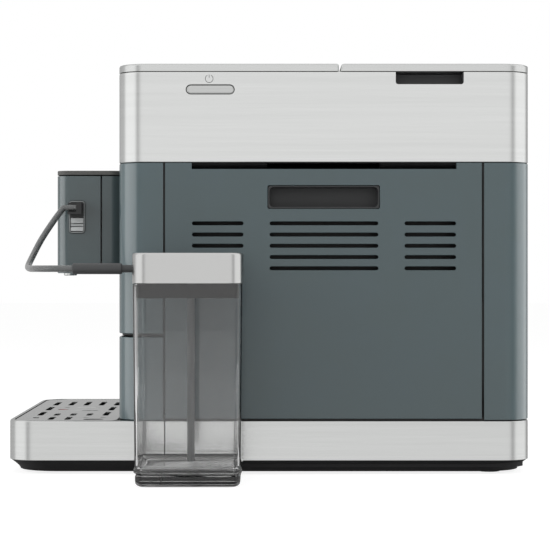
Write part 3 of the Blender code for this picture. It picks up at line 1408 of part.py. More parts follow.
def tank_outline(inset):
    """Plan of the tank, drawn in by a wall or a taper."""
    return rounded(
        TANK_X - TANK_HALF_X + inset, TANK_X + TANK_HALF_X - inset, -TANK_HALF_Y + inset, TANK_HALF_Y - inset,
        TANK_CORNER - inset, CORNER_STEPS,
    )


def make_tank():
    """Lift-out water tank with its outlet valve."""
    outer = [(TANK_BOTTOM, tank_outline(TANK_TAPER)), (TANK_TOP, tank_outline(0))]
    inner = [
        (TANK_BOTTOM + TANK_WALL, tank_outline(TANK_WALL + TANK_TAPER)), (TANK_TOP, tank_outline(TANK_WALL)),
    ]
    pivot = (TANK_X, 0, TANK_BOTTOM)
    piece("water_tank", cup(outer, inner), "clear", pivot)
    top = TANK_BOTTOM - GAP
    valve = [
        (VALVE_TIP_RADIUS, top - VALVE_HEIGHT + GAP), (VALVE_RADIUS, top - VALVE_HEIGHT / 2), (VALVE_RADIUS, top),
    ]
    piece("tank_outlet_valve", revolve(valve, (TANK_X, 0)), "dark", pivot)


# Drip tray drawer

def drawer_outline(end_x, inset, rear_bend=0.0):
    """Front part of the base plan, drawn in, ending at end_x."""
    bend = CORNER_RADIUS - inset
    return rounded(
        FRONT_X + inset, end_x, -HALF_WIDTH + inset, HALF_WIDTH - inset, (bend, rear_bend, rear_bend, bend)
    )


def make_drawer():
    """Drip tray, its steel front band, plinth and grounds container, sliding out to the front."""
    pivot = (FRONT_X, 0, PLINTH_TOP)
    band_levels = edge_levels(PLINTH_TOP, BASE_TOP, BAND_LOW_ROUND, BAND_TOP_ROUND)
    band = [
        (height, horseshoe(DRAWER_END_X, FRONT_X, HALF_WIDTH, CORNER_RADIUS, BASE_BAND_WALL, inset))
        for height, inset in band_levels
    ]
    piece("base_band_front", loft(band), "steel", pivot)
    piece("plinth_front", loft(plinth_levels(DRAWER_END_X, False)), "black", pivot)

    grille_low = BASE_TOP - GRILLE_SET_DOWN - GRILLE_THICKNESS
    core = drawer_outline(DRAWER_END_X, BASE_CORE_INSET)
    basin = piece("tray_basin", prism(core, PLINTH_TOP + GAP, grille_low - GAP), "black", pivot)
    side = HALF_WIDTH - BASE_CORE_INSET
    fuse(basin, prism([
        (BODY_FRONT_X, BASIN_FLOOR), (DRAWER_END_X, BASIN_FLOOR), (DRAWER_END_X, BASE_CORE_TOP),
        (BODY_FRONT_X, BASE_CORE_TOP),
    ], -side, side, "Y"))
    shelf_low = BASE_CORE_TOP + GAP
    fuse(basin, prism([
        (SHELF_FRONT_X, BASIN_FLOOR), (DRAWER_END_X - BASIN_WALL, BASIN_FLOOR),
        (DRAWER_END_X - BASIN_WALL, shelf_low), (SHELF_REAR_X, shelf_low),
        (SHELF_REAR_X, shelf_low + SHELF_THICKNESS), (SHELF_FRONT_X, shelf_low + SHELF_THICKNESS),
    ], -SHELF_HALF, SHELF_HALF, "Y"))
    hollow = drawer_outline(BASIN_REAR_X, BASE_CORE_INSET + BASIN_WALL, BASIN_REAR_CORNER)
    cut(basin, prism(hollow, BASIN_FLOOR, BASE_TOP + CUT_OVERRUN))

    low = shelf_low + SHELF_THICKNESS + GAP
    top = low + CONTAINER_HEIGHT
    outer = [(low, container_outline(CONTAINER_TAPER)), (top, container_outline(0))]
    inner = [
        (low + CONTAINER_WALL, container_outline(CONTAINER_TAPER + CONTAINER_WALL)),
        (top, container_outline(CONTAINER_WALL)),
    ]
    piece("grounds_container", cup(outer, inner), "dark", pivot)
    make_grille(grille_low)


def container_outline(inset):
    """Plan of the grounds container."""
    return rounded(
        CONTAINER_FRONT_X + inset, CONTAINER_REAR_X - inset, -CONTAINER_HALF + inset, CONTAINER_HALF - inset,
        CONTAINER_CORNER - inset, EDGE_STEPS,
    )


def make_grille(low):
    """Slotted steel grille over the tray and the float that shows through it."""
    top = low + GRILLE_THICKNESS
    outline = drawer_outline(GRILLE_REAR_X, GRILLE_INSET, GRILLE_REAR_CORNER)
    holes = []
    for column, spans in enumerate(GRILLE_COLUMNS):
        x = GRILLE_FIRST_COLUMN_X + column * GRILLE_COLUMN_PITCH
        for near, far in spans:
            holes.append(slot(
                x - GRILLE_SLOT_WIDTH / 2, x + GRILLE_SLOT_WIDTH / 2, near - HALF_WIDTH, far - HALF_WIDTH,
                GRILLE_SLOT_STEPS,
            ))
    holes.append(slot(
        FINGER_HOLE_FRONT, FINGER_HOLE_REAR, FINGER_HOLE_NEAR - HALF_WIDTH, FINGER_HOLE_FAR - HALF_WIDTH,
        CORNER_STEPS,
    ))
    holes.append(arc(FLOAT_X, FLOAT_Y, FLOAT_HOLE_RADIUS, 0, 360, ROUND_STEPS)[:-1])
    piece("drip_grille", pierced(outline, holes, low, top), "steel", (FRONT_X, 0, low))
    float_low = BASIN_FLOOR + GAP
    shaft = [
        (FLOAT_BASE_RADIUS, float_low), (FLOAT_BASE_RADIUS, float_low + FLOAT_BASE_HEIGHT),
        (FLOAT_RADIUS, float_low + FLOAT_BASE_HEIGHT), (FLOAT_RADIUS, top - GRILLE_SET_DOWN),
    ]
    piece("tray_float", revolve(shaft, (FLOAT_X, FLOAT_Y)), "red", (FLOAT_X, FLOAT_Y, float_low))


# Coffee spout

def spout_outline(front_x, rear_x, inset, front_bend, rear_bend):
    """Plan of a spout part."""
    return rounded(
        front_x + inset, rear_x - inset, -SPOUT_HALF + inset, SPOUT_HALF - inset,
        (max(front_bend - inset, 0), max(rear_bend - inset, 0),
         max(rear_bend - inset, 0), max(front_bend - inset, 0)),
    )


def make_spout():
    """Height adjustable spout: carrier on its track, front cover, cap and two nozzles."""
    rear_x = BODY_FRONT_X - GAP
    pivot = (SPOUT_SPLIT, 0, SPOUT_LOW)
    carrier_levels = [
        (height, spout_outline(SPOUT_SPLIT + GAP, rear_x, inset, 0, SPOUT_REAR_CORNER))
        for height, inset in edge_levels(SPOUT_LOW, SPOUT_HIGH, COVER_ROUND, COVER_ROUND)
    ]
    carrier = piece("spout_carrier", loft(carrier_levels), "green", pivot)
    fuse(carrier, box(
        rear_x - COVER_WALL, rear_x + TONGUE_REACH, -TONGUE_HALF, TONGUE_HALF, TONGUE_LOW, TONGUE_HIGH
    ))
    cover_levels = [
        (height, spout_outline(SPOUT_FRONT, SPOUT_SPLIT - GAP, inset, SPOUT_FRONT_CORNER, 0))
        for height, inset in edge_levels(SPOUT_LOW, SPOUT_HIGH, COVER_ROUND, COVER_ROUND)
    ]
    cover = piece("spout_cover", loft(cover_levels), "green", pivot)
    cut(cover, prism(
        rounded(PORT_FRONT - GAP, PORT_REAR + GAP, PORT_LOW - GAP, PORT_HIGH + GAP, PORT_CORNER + GAP, EDGE_STEPS),
        PORT_FACE_Y - CUT_OVERRUN, PORT_FACE_Y + PORT_SINK, "Y",
    ))
    nozzles = []
    for name, y in (("nozzle_near", -NOZZLE_Y), ("nozzle_far", NOZZLE_Y)):
        low = SPOUT_LOW - NOZZLE_DROP
        high = low + NOZZLE_HEIGHT
        nozzles.append(revolve(
            [(NOZZLE_RADIUS + GAP, SPOUT_LOW - CUT_OVERRUN), (NOZZLE_RADIUS + GAP, high + GAP)], (NOZZLE_X, y)
        ))
        wall = [
            (NOZZLE_BORE, low), (NOZZLE_RADIUS - COVER_ROUND, low), (NOZZLE_RADIUS, low + COVER_ROUND),
            (NOZZLE_RADIUS, high), (NOZZLE_BORE, high),
        ]
        piece(name, revolve(wall, (NOZZLE_X, y), ring=True), "steel", (NOZZLE_X, y, low))
    cut(cover, *nozzles)
    cap_low = SPOUT_HIGH + GAP
    cap_levels = [
        (height, spout_outline(
            SPOUT_FRONT, rear_x, inset, SPOUT_FRONT_CORNER, SPOUT_REAR_CORNER
        ))
        for height, inset in edge_levels(cap_low, SPOUT_HIGH + SPOUT_CAP_THICKNESS, 0, SPOUT_CAP_LIP)
    ]
    piece("spout_cap", loft(cap_levels), "dark", (SPOUT_SPLIT, 0, cap_low))

    track_x = BODY_FRONT_X + COVER_INSET
    half = SLOT_HALF_WIDTH + TRACK_WALL - GAP
    low = SLOT_LOW - TRACK_WALL + GAP
    high = SLOT_HIGH + TRACK_WALL - GAP
    floor_x = track_x + TRACK_DEPTH - GAP
    outer = rectangle(-half, half, low, high)
    inner = rectangle(-half + TRACK_WALL, half - TRACK_WALL, low + TRACK_WALL, high - TRACK_WALL)
    track = cup(
        [(floor_x, outer), (track_x, outer)], [(floor_x - TRACK_WALL, inner), (track_x, inner)], "X"
    )
    piece("spout_track", track, "black")


# Milk port, plug and hose

def make_milk_port():
    """Frame with its slider on the spout's near side, and the open hose plug in it."""
    pivot = (PORT_FRONT, PORT_FACE_Y, PORT_LOW)
    outer = rounded(PORT_FRONT, PORT_REAR, PORT_LOW, PORT_HIGH, PORT_CORNER, EDGE_STEPS)
    rim = PORT_RIM
    inner = rounded(
        PORT_FRONT + rim, PORT_REAR - rim, PORT_LOW + rim, PORT_HIGH - rim, PORT_CORNER - rim, EDGE_STEPS
    )
    back = PORT_FACE_Y + PORT_SINK - GAP
    front = PORT_FACE_Y - PORT_STAND
    floor = back - rim / 2
    frame = cup([(back, outer), (front, outer)], [(floor, inner), (front, inner)], "Y")
    piece("milk_port_frame", frame, "steel", pivot)
    x0 = PORT_FRONT + rim + GAP
    x1 = PORT_REAR - rim - GAP
    face = PORT_FACE_Y - SLIDE_STAND
    groove = SLIDE_GROOVE
    height = SLIDE_HIGH - SLIDE_LOW
    profile = [(floor - GAP, SLIDE_LOW), (floor - GAP, SLIDE_HIGH), (face, SLIDE_HIGH)]
    for share in reversed(SLIDE_GROOVE_SHARES):
        z = SLIDE_LOW + height * share
        profile += [(face, z + groove / 2), (face + groove, z + groove / 2), (face + groove, z - groove / 2),
                    (face, z - groove / 2)]
    profile.append((face, SLIDE_LOW))
    piece("milk_port_slide", prism(profile, x0, x1, "X"), "grey", pivot)
    shank_end = front - PORT_STAND
    shank = rounded(x0, x1, PLUG_LOW, PLUG_HIGH, PLUG_EDGE, EDGE_STEPS)
    plug = piece("milk_plug", prism(shank, shank_end, floor - GAP, "Y"), "black", pivot)
    elbow = rounded(
        PLUG_FRONT, PLUG_REAR, PLUG_BODY_LOW, PLUG_BODY_HIGH, PLUG_EDGE, EDGE_STEPS
    )
    plug_face = PORT_FACE_Y - PLUG_STAND
    fuse(plug, prism(elbow, plug_face, front - GAP, "Y"))
    hose_far_side = HOSE_START_Y + HOSE_DIAMETER / 2
    cut(plug, box(
        PLUG_FRONT - CUT_OVERRUN, PLUG_RECESS_X, plug_face - CUT_OVERRUN, hose_far_side + GAP,
        PLUG_RECESS_LOW, PLUG_HIGH + CUT_OVERRUN,
    ))


def smooth_route(points, steps):
    """Points on a smooth curve through the route."""
    ends = [points[0]] + list(points) + [points[-1]]
    path = []
    for i in range(1, len(ends) - 2):
        a, b, c, d = (Vector(p) for p in ends[i - 1:i + 3])
        for step in range(steps):
            t = step / steps
            path.append(0.5 * (
                2 * b + (c - a) * t + (2 * a - 5 * b + 4 * c - d) * t ** 2 + (3 * b - a - 3 * c + d) * t ** 3
            ))
    path.append(Vector(points[-1]))
    return path


def spaced(path, spacing):
    """Points along a path at an even spacing that fits its length."""
    lengths = [0.0]
    for a, b in zip(path, path[1:]):
        lengths.append(lengths[-1] + (b - a).length)
    count = max(2, round(lengths[-1] / spacing))
    points = []
    index = 0
    for i in range(count + 1):
        target = lengths[-1] * i / count
        while index < len(lengths) - 2 and lengths[index + 1] < target:
            index += 1
        share = (target - lengths[index]) / (lengths[index + 1] - lengths[index])
        points.append(path[index].lerp(path[index + 1], min(share, 1.0)))
    return points


def make_hose():
    """Milk hose from the plug's recess to the sleeve at the jar."""
    start = Vector((PLUG_RECESS_X - GAP, HOSE_START_Y, HOSE_START_Z))
    end = Vector((HOSE_END_X, JAR_Y, HOSE_END_Z))
    leave = start - Vector((HOSE_START_STUB, 0, 0))
    arrive = end - Vector((HOSE_END_STUB, 0, 0))
    route = [tuple(leave)] + list(HOSE_ROUTE) + [tuple(arrive)]
    points = [start] + spaced(smooth_route(route, HOSE_STEPS), 2 * HOSE_DIAMETER) + [end]
    curve = bpy.data.curves.new("milk_hose", "CURVE")
    curve.dimensions = "3D"
    curve.bevel_depth = HOSE_DIAMETER / 2
    curve.bevel_resolution = HOSE_RESOLUTION
    curve.use_fill_caps = True
    spline = curve.splines.new("POLY")
    spline.points.add(len(points) - 1)
    for target, point in zip(spline.points, points):
        target.co = (point.x, point.y, point.z, 1.0)
    spline.use_smooth = True
    color, roughness, metallic = LOOKS["hose"]
    curve.materials.append(make_material("milk_hose", color, roughness, metallic))
    hose = bpy.data.objects.new("milk_hose", curve)
    hose.location = (0.0, MACHINE_Y, 0.0)
    bpy.context.scene.collection.objects.link(hose)
    sleeve_profile = [
        (SLEEVE_RADIUS - SLEEVE_EDGE, HOSE_END_X + GAP), (SLEEVE_RADIUS, HOSE_END_X + GAP + SLEEVE_EDGE),
        (SLEEVE_RADIUS, SLEEVE_REAR_X - SLEEVE_EDGE), (SLEEVE_RADIUS - SLEEVE_EDGE, SLEEVE_REAR_X),
        (SLEEVE_NECK_RADIUS, SLEEVE_REAR_X), (SLEEVE_NECK_RADIUS, SLEEVE_NECK_END),
        (SLEEVE_NECK_RADIUS, jar_lid_face() - GAP),
    ]
    piece("hose_sleeve", revolve(sleeve_profile, (JAR_Y, HOSE_END_Z), "X"), "dark")


# Milk jar

def jar_lid_face():
    """Front face of the jar's lid."""
    return JAR_X - JAR_WIDTH / 2 - JAR_LID_OVERHANG


def jar_outline(inset):
    """Plan of the jar, drawn in by a wall or a taper."""
    return rounded(
        JAR_X - JAR_WIDTH / 2 + inset, JAR_X + JAR_WIDTH / 2 - inset,
        JAR_Y - JAR_DEPTH / 2 + inset, JAR_Y + JAR_DEPTH / 2 - inset, JAR_CORNER - inset,
    )


def jar_taper(height):
    """How far the jar's wall is drawn in at a height."""
    return JAR_TAPER * (1 - height / JAR_HEIGHT)


def make_jar():
    """Clear milk jar with its lid, the lid's collar and the suction tube."""
    pivot = (JAR_X, JAR_Y, 0)
    foot = JAR_FOOT_INSET
    outer = [
        (0, jar_outline(jar_taper(0) + foot + JAR_FOOT_ROUND / 2)),
        (JAR_FOOT_ROUND / 2, jar_outline(jar_taper(0) + foot + JAR_FOOT_ROUND / 6)),
        (JAR_FOOT_ROUND, jar_outline(jar_taper(JAR_FOOT_ROUND) + foot)),
        (JAR_FOOT_HEIGHT, jar_outline(jar_taper(JAR_FOOT_HEIGHT) + foot)),
        (JAR_FOOT_HEIGHT + foot / 2, jar_outline(jar_taper(JAR_FOOT_HEIGHT))),
        (JAR_HEIGHT, jar_outline(0)),
    ]
    wall = JAR_WALL
    floor = JAR_FLOOR
    inner = [
        (floor, jar_outline(jar_taper(floor) + wall + foot)),
        (floor + foot, jar_outline(jar_taper(floor) + wall)),
        (JAR_HEIGHT, jar_outline(wall)),
    ]
    piece("milk_jar", cup(outer, inner), "clear", pivot)
    lid_low = JAR_HEIGHT + GAP
    lid_high = lid_low + JAR_LID_HEIGHT
    lid_pivot = (JAR_X, JAR_Y, lid_low)
    lid_outer = [
        (height, jar_outline(inset - JAR_LID_OVERHANG))
        for height, inset in edge_levels(lid_low, lid_high, COVER_ROUND, JAR_LID_ROUND)
    ]
    lid_inner = [
        (lid_low, jar_outline(JAR_LID_WALL)), (lid_high - JAR_LID_WALL, jar_outline(JAR_LID_WALL)),
    ]
    piece("milk_lid", cup(lid_outer[::-1], lid_inner[::-1]), "silver", lid_pivot)
    collar_high = lid_low - GAP
    collar_low = collar_high - COLLAR_DEPTH
    collar_levels = (collar_low, collar_high)
    collar_outer = [
        (height, jar_outline(jar_taper(height) + wall + COLLAR_GAP)) for height in collar_levels
    ]
    collar_inner = [
        (height, jar_outline(jar_taper(height) + wall + COLLAR_GAP + COLLAR_WALL)) for height in collar_levels
    ]
    piece("jar_collar", sleeve(collar_outer, collar_inner), "dark", lid_pivot)
    tube_low = JAR_FLOOR + TUBE_FLOOR_GAP
    tube = [
        (TUBE_RADIUS, tube_low), (TUBE_RADIUS, lid_high - JAR_LID_WALL - GAP),
        (TUBE_BORE, lid_high - JAR_LID_WALL - GAP), (TUBE_BORE, tube_low),
    ]
    piece(
        "suction_tube", revolve(tube, (TUBE_X, JAR_Y), ring=True, steps=HINGE_STEPS), "grey",
        (TUBE_X, JAR_Y, lid_low),
    )


def build():
    """Make the whole machine in an empty scene."""
    for obj in list(bpy.data.objects):
        bpy.data.objects.remove(obj, do_unlink=True)
    make_base()
    make_chassis()
    make_covers()
    make_service_panel()
    make_top()
    make_lids()
    make_grinder()
    make_brew_group()
    make_machine_room()
    make_tank()
    make_drawer()
    make_spout()
    make_milk_port()
    make_hose()
    make_jar()


build()
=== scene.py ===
# %% [markdown]
# # A bean to cup coffee machine, dressed for one photograph
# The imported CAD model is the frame: every piece of it has its place and its joint
# already. This lesson keeps that frame as it is and gives each surface the form,
# the edges and the material that the photograph shows. Each step names the real
# thing first, then says how it could be made in Blender and why one way was chosen.
# Lengths are in metres unless a name or a comment says millimetres.

import json
import math

import bmesh
import bpy
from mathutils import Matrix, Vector


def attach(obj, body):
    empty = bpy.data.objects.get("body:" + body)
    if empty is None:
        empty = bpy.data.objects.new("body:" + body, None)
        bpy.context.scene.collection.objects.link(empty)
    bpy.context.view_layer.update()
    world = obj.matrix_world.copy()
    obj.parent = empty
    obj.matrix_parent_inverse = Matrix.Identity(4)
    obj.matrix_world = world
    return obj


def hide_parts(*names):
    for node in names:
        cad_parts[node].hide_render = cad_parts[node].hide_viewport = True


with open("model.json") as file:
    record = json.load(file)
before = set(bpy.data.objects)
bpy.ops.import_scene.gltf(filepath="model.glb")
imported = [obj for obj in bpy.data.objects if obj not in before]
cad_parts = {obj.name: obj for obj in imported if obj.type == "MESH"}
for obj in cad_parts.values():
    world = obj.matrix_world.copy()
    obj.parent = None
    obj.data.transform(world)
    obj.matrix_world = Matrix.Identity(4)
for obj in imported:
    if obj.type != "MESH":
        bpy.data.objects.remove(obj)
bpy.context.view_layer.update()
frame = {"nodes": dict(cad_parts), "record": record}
nodes = frame["nodes"]
body_of = {
    node: body
    for body, members in frame["record"]["behaviour"]["bodies"].items()
    for node in members
}

# %% [markdown]
# ## The camera
# The photograph looks straight along +Y at the side of the machine, from about the
# middle of its height. A camera could be placed by eye, but sizes are surer: a known
# height in millimetres against its height in pixels gives the distance for a lens,
# and pieces at three depths, the body, the base and the jar, tell which lens it is.
# A small lens shift then puts the optical axis where the photograph has it.

# %% Camera
MACHINE_Y = 0.0565  # the machine's own middle; the frame's middle counts the jar too
LENS_X, LENS_Z = -0.0026, 0.191
LENS_DISTANCE = 1.9375  # to the machine's middle
FOCAL_LENGTH, SENSOR_WIDTH = 125.70, 36.0  # millimetres
SHIFT_X, SHIFT_Y = 0.0160, -0.0107  # in picture widths
NEAREST_SEEN, FARTHEST_SEEN = 0.05, 60.0

camera_data = bpy.data.cameras.new("product_lens")
camera_data.sensor_width = SENSOR_WIDTH
camera_data.lens = FOCAL_LENGTH
camera_data.shift_x = SHIFT_X
camera_data.shift_y = SHIFT_Y
camera_data.clip_start = NEAREST_SEEN
camera_data.clip_end = FARTHEST_SEEN
camera = bpy.data.objects.new("camera", camera_data)
bpy.context.scene.collection.objects.link(camera)
camera.location = (LENS_X, MACHINE_Y - LENS_DISTANCE, LENS_Z)
camera.rotation_euler = (math.radians(90), 0.0, 0.0)
bpy.context.scene.camera = camera
print("camera at", tuple(round(v, 4) for v in camera.location))

# %% [markdown]
# ## Colours and nodes
# Colours read from a photograph are sRGB values, while Blender's shaders work with
# light, which is linear. One function turns a hex colour into linear numbers. A
# second one adds a node with its settings and its links in a single call, so that a
# material reads like a list of what the real surface does. A third one starts a
# material from the constants of its real surface.

# %% Colour and node helpers
def linear(hex_colour):
    """sRGB hex colour as the linear RGBA that a shader wants, by the sRGB standard."""
    channels = [int(hex_colour[i:i + 2], 16) / 255 for i in (1, 3, 5)]
    light = [c / 12.92 if c <= 0.04045 else ((c + 0.055) / 1.055) ** 2.4 for c in channels]
    return (*light, 1.0)


def add(tree, kind, settings=None, links=None):
    """Adds a node. Settings and links name or number its inputs. A setting may also name
    a property, or be a ramp's "stops" of (position, colour). A link comes from a socket,
    or from a node, which stands for its first output."""
    node = tree.nodes.new(kind)
    for key, value in (settings or {}).items():
        if key == "stops":
            elements = node.color_ramp.elements
            while len(elements) < len(value):
                elements.new(0.5)
            for element, (position, colour) in zip(elements, value):
                element.position = position
                element.color = colour
        elif isinstance(key, int) or key in node.inputs:
            node.inputs[key].default_value = value
        else:
            setattr(node, key, value)
    for key, source in (links or {}).items():
        socket = source.outputs[0] if isinstance(source, bpy.types.Node) else source
        tree.links.new(socket, node.inputs[key])
    return node


def surface(name, colour, **values):
    """A material with one Principled shader, which holds its constants."""
    material = bpy.data.materials.new(name)
    material.use_nodes = True
    material.diffuse_color = linear(colour)
    shader = material.node_tree.nodes["Principled BSDF"]
    shader.inputs["Base Color"].default_value = linear(colour)
    for key, value in values.items():
        shader.inputs[key.replace("_", " ")].default_value = value
    return material, material.node_tree, shader


print("#D5D6D5 is linear", tuple(round(v, 3) for v in linear("#D5D6D5")[:3]))

# %% [markdown]
# ## Grain
# No real surface has one colour and one gloss all over. A picture could be wrapped
# round each piece, but that needs the piece unwrapped. Noise in the object's own
# space needs nothing and has the same size on every piece, so its scale can come
# from a real size: a thousand millimetres over the width of one grain gives the
# grains per metre. One function makes the noise and one lets it vary a shader.

# %% Grain helpers
MM_PER_METRE = 1000.0
NOISE_ROUGHNESS = 0.55
FINE_DETAIL, BROAD_DETAIL = 3.0, 2.0  # how many finer noises lie on top of the first
NOISE_MIDDLE = (0.3, 0.7)  # most of the noise lies between these
TINT_MIDDLE = (0.35, 0.65)


def grain(tree, size_mm, stretch=(1.0, 1.0, 1.0), detail=FINE_DETAIL):
    """Noise with grains of a real size; a stretch below 1 draws them out along an axis."""
    place = add(tree, "ShaderNodeTexCoord")
    mapped = add(
        tree, "ShaderNodeMapping", {"Scale": stretch}, {"Vector": place.outputs["Object"]}
    )
    noise = add(
        tree, "ShaderNodeTexNoise",
        {"Scale": MM_PER_METRE / size_mm, "Detail": detail, "Roughness": NOISE_ROUGHNESS},
        {"Vector": mapped},
    )
    return noise.outputs["Fac"]


def vary(tree, shader, tint=None, gloss=None, relief=None, middle=TINT_MIDDLE):
    """Lets grains vary a shader. Tint is (grain, dark, light), gloss is (grain, least and
    most roughness) and relief is (grain, its real height)."""
    if tint:
        pattern, *colours = tint
        stops = [(position, linear(colour)) for position, colour in zip(middle, colours)]
        ramp = add(tree, "ShaderNodeValToRGB", {"stops": stops}, {"Fac": pattern})
        tree.links.new(ramp.outputs["Color"], shader.inputs["Base Color"])
    if gloss:
        pattern, least, most = gloss
        spread = add(
            tree, "ShaderNodeMapRange",
            {"From Min": NOISE_MIDDLE[0], "From Max": NOISE_MIDDLE[1],
             "To Min": least, "To Max": most},
            {"Value": pattern},
        )
        tree.links.new(spread.outputs["Result"], shader.inputs["Roughness"])
    if relief:
        pattern, height = relief
        bump = add(
            tree, "ShaderNodeBump", {"Strength": 1.0, "Distance": height}, {"Height": pattern}
        )
        tree.links.new(bump.outputs["Normal"], shader.inputs["Normal"])


print("a grain of 2 mm comes", MM_PER_METRE / 2, "times a metre")

# %% [markdown]
# ## Brushed stainless steel
# The bands are stainless sheet, brushed along their length. Brushing leaves parallel
# scratches, so light spreads across them and stays sharp along them. An anisotropic
# shader alone would give the spread but no strokes, so noise that is drawn out a
# hundredfold along the strokes gives colour, gloss and relief. The bands need
# strokes that run level on every wall, and the lids need strokes from front to back.

# %% Brushed steel
# Real strokes lie about 0.1 mm apart, too fine for pixels nearly a millimetre wide,
# so they are drawn as coarse as a pixel, with broad streaks among them.
STROKE_MM, STREAK_MM = 0.909, 7.14
STROKE_DETAIL = 4.0
STROKE_HEIGHT = 0.0000015
LEVEL_STROKES = (0.01, 0.01, 1.0)
FRONT_TO_BACK_STROKES = (0.01, 1.0, 1.0)
STEEL_ROUGHNESS = (0.17, 0.23)


def brushed_steel(name, strokes_run, light, dark):
    """Stainless steel sheet with fine parallel strokes."""
    material, tree, shader = surface(name, light, Metallic=1.0, Roughness=0.2)
    strokes = grain(tree, STROKE_MM, strokes_run, detail=STROKE_DETAIL)
    streaks = grain(tree, STREAK_MM, strokes_run, detail=BROAD_DETAIL)
    both = add(tree, "ShaderNodeMath", {"operation": "ADD"}, {0: strokes, 1: streaks})
    mean = add(tree, "ShaderNodeMath", {"operation": "MULTIPLY", 1: 0.5}, {0: both})
    vary(
        tree, shader, tint=(mean, dark, light), gloss=(strokes, *STEEL_ROUGHNESS),
        relief=(strokes, STROKE_HEIGHT),
    )
    return material


band_steel = brushed_steel("brushed_stainless_band", LEVEL_STROKES, "#E2E3E2", "#DBDCDB")
# The base band is the same stainless steel as the upper band, drawn darker: painted shade for
# the dimmer reflection that the low band shows.
base_steel_painted_shade = brushed_steel("brushed_stainless_base_painted_shade", LEVEL_STROKES, "#D6D7D6", "#CECFCE")
lid_steel = brushed_steel(
    "brushed_stainless_lid", FRONT_TO_BACK_STROKES, "#D9DAD9", "#D1D2D1"
)
button_steel = brushed_steel("brushed_stainless_button", LEVEL_STROKES, "#CCCDCC", "#C5C6C5")
print("strokes are drawn", STROKE_MM, "mm apart")

# %% [markdown]
# ## Moulded and painted plastics
# The body is ABS with a satin grey green paint. A spray coat leaves a very fine
# orange peel, about a millimetre wide and some microns high, that softens
# reflections, and the clear top of the paint adds a second, sharper one. The black
# and dark grey pieces are bare ABS from a mould with a finer grain, which gives the
# eye one soft, wide highlight. Nylon and rubber are duller still. One function serves
# them all, because they differ in colour, gloss and grain only.

# %% Plastics
PEEL_MM = 1.11
MOULD_MM = 0.714  # real mould grain is a tenth of this and would be too fine to show
TOUCH_MM = 40.0  # hands and the cooling mould change the gloss over some centimetres
PEEL_HEIGHT = 0.000008
SHINIER, DULLER = -0.03, 0.04  # added to the roughness
SATIN_PAINT = {"Coat_Weight": 0.8, "Coat_Roughness": 0.16}


def plastic(name, colour, shade, roughness, grain_mm=MOULD_MM, height=PEEL_HEIGHT, **values):
    """Moulded plastic with a fine grain and slightly uneven colour and gloss."""
    material, tree, shader = surface(name, colour, Roughness=roughness, **values)
    fine = grain(tree, grain_mm)
    wide = grain(tree, TOUCH_MM, detail=BROAD_DETAIL)
    vary(
        tree, shader, tint=(wide, shade, colour),
        gloss=(wide, roughness + SHINIER, roughness + DULLER), relief=(fine, height),
    )
    return material


body_green = plastic(
    "satin_painted_abs_grey_green", "#36464A", "#354548", 0.34, PEEL_MM, **SATIN_PAINT
)
spout_grey = plastic(
    "satin_spout_abs_grey_green", "#334042", "#323E40", 0.34, PEEL_MM, **SATIN_PAINT
)
black_plastic = plastic("black_abs", "#0D0D0E", "#0A0A0B", 0.45)
# The plinth is duller than the other black pieces and mirrors less at a low angle, so
# it stays a dark line under the bright steel.
plinth_black = plastic(
    "plinth_black_abs", "#161617", "#131314", 0.65, Specular_IOR_Level=0.3
)
frame_grey = plastic("top_frame_grey_abs", "#555657", "#515253", 0.45)
dark_plastic = plastic("dark_grey_abs", "#3A3B3C", "#373839", 0.42)
collar_grey = plastic("jar_collar_grey_abs", "#585858", "#555555", 0.42)
cap_grey = plastic("spout_cap_grey_abs", "#4A4A48", "#474745", 0.40)
grip_grey = plastic("grip_recess_dark_abs", "#303132", "#2D2E2F", 0.5)
pad_grey = plastic("port_pad_grey_abs", "#B9BBBB", "#B4B6B6", 0.45)
rim_grey = plastic("port_rim_grey_abs", "#7C7F7F", "#787B7B", 0.35)
plug_dark = plastic("milk_plug_dark_abs", "#1E1E1F", "#1B1B1C", 0.4)
grey_plastic = plastic("mid_grey_nylon", "#8C8E8F", "#868889", 0.5, 0.833)
float_red = plastic("red_float_pp", "#A3150F", "#98120D", 0.35, PEEL_MM)
rubber = plastic("black_foot_rubber", "#0E0E0E", "#0B0B0B", 0.85, 0.556, 0.00002)
sign_grey = plastic("printed_sign_grey", "#3E3F3F", "#3B3C3C", 0.5, height=0.000001)
print(len(bpy.data.materials), "materials so far")

# %% [markdown]
# ## Clear plastics
# The milk jar, the water tank and the bean hopper are clear styrene copolymer with a
# grey tint. Glass could be faked with a see-through shader, but these pieces have
# real walls, so light can enter one face and leave by the next. A transmissive
# shader with the plastic's index of refraction then draws the bright and dark lines
# along the corners by itself. The tint is taken up inside the wall, so that thick
# places are darker, as they are in the real moulding.

# %% Clear plastics
SAN_IOR = 1.57
JAR_IOR = 1.49  # matched to the thin dark edges of the photographed jar
FLOW_MM = 25.0
FLOW_ALONG_Z = (1.0, 1.0, 0.4)
CLEARER, CLOUDIER = 0.7, 1.4  # times the roughness


def clear(name, colour, tint_per_metre, roughness, ior=SAN_IOR):
    """Transparent moulding with faint swirls where the plastic flowed into the mould."""
    material, tree, shader = surface(
        name, colour, Roughness=roughness, IOR=ior, Transmission_Weight=1.0
    )
    flow = grain(tree, FLOW_MM, FLOW_ALONG_Z, detail=BROAD_DETAIL)
    vary(tree, shader, gloss=(flow, roughness * CLEARER, roughness * CLOUDIER))
    tint = add(
        tree, "ShaderNodeVolumeAbsorption",
        {"Color": linear("#000000"), "Density": tint_per_metre},
    )
    tree.links.new(tint.outputs["Volume"], tree.nodes["Material Output"].inputs["Volume"])
    return material


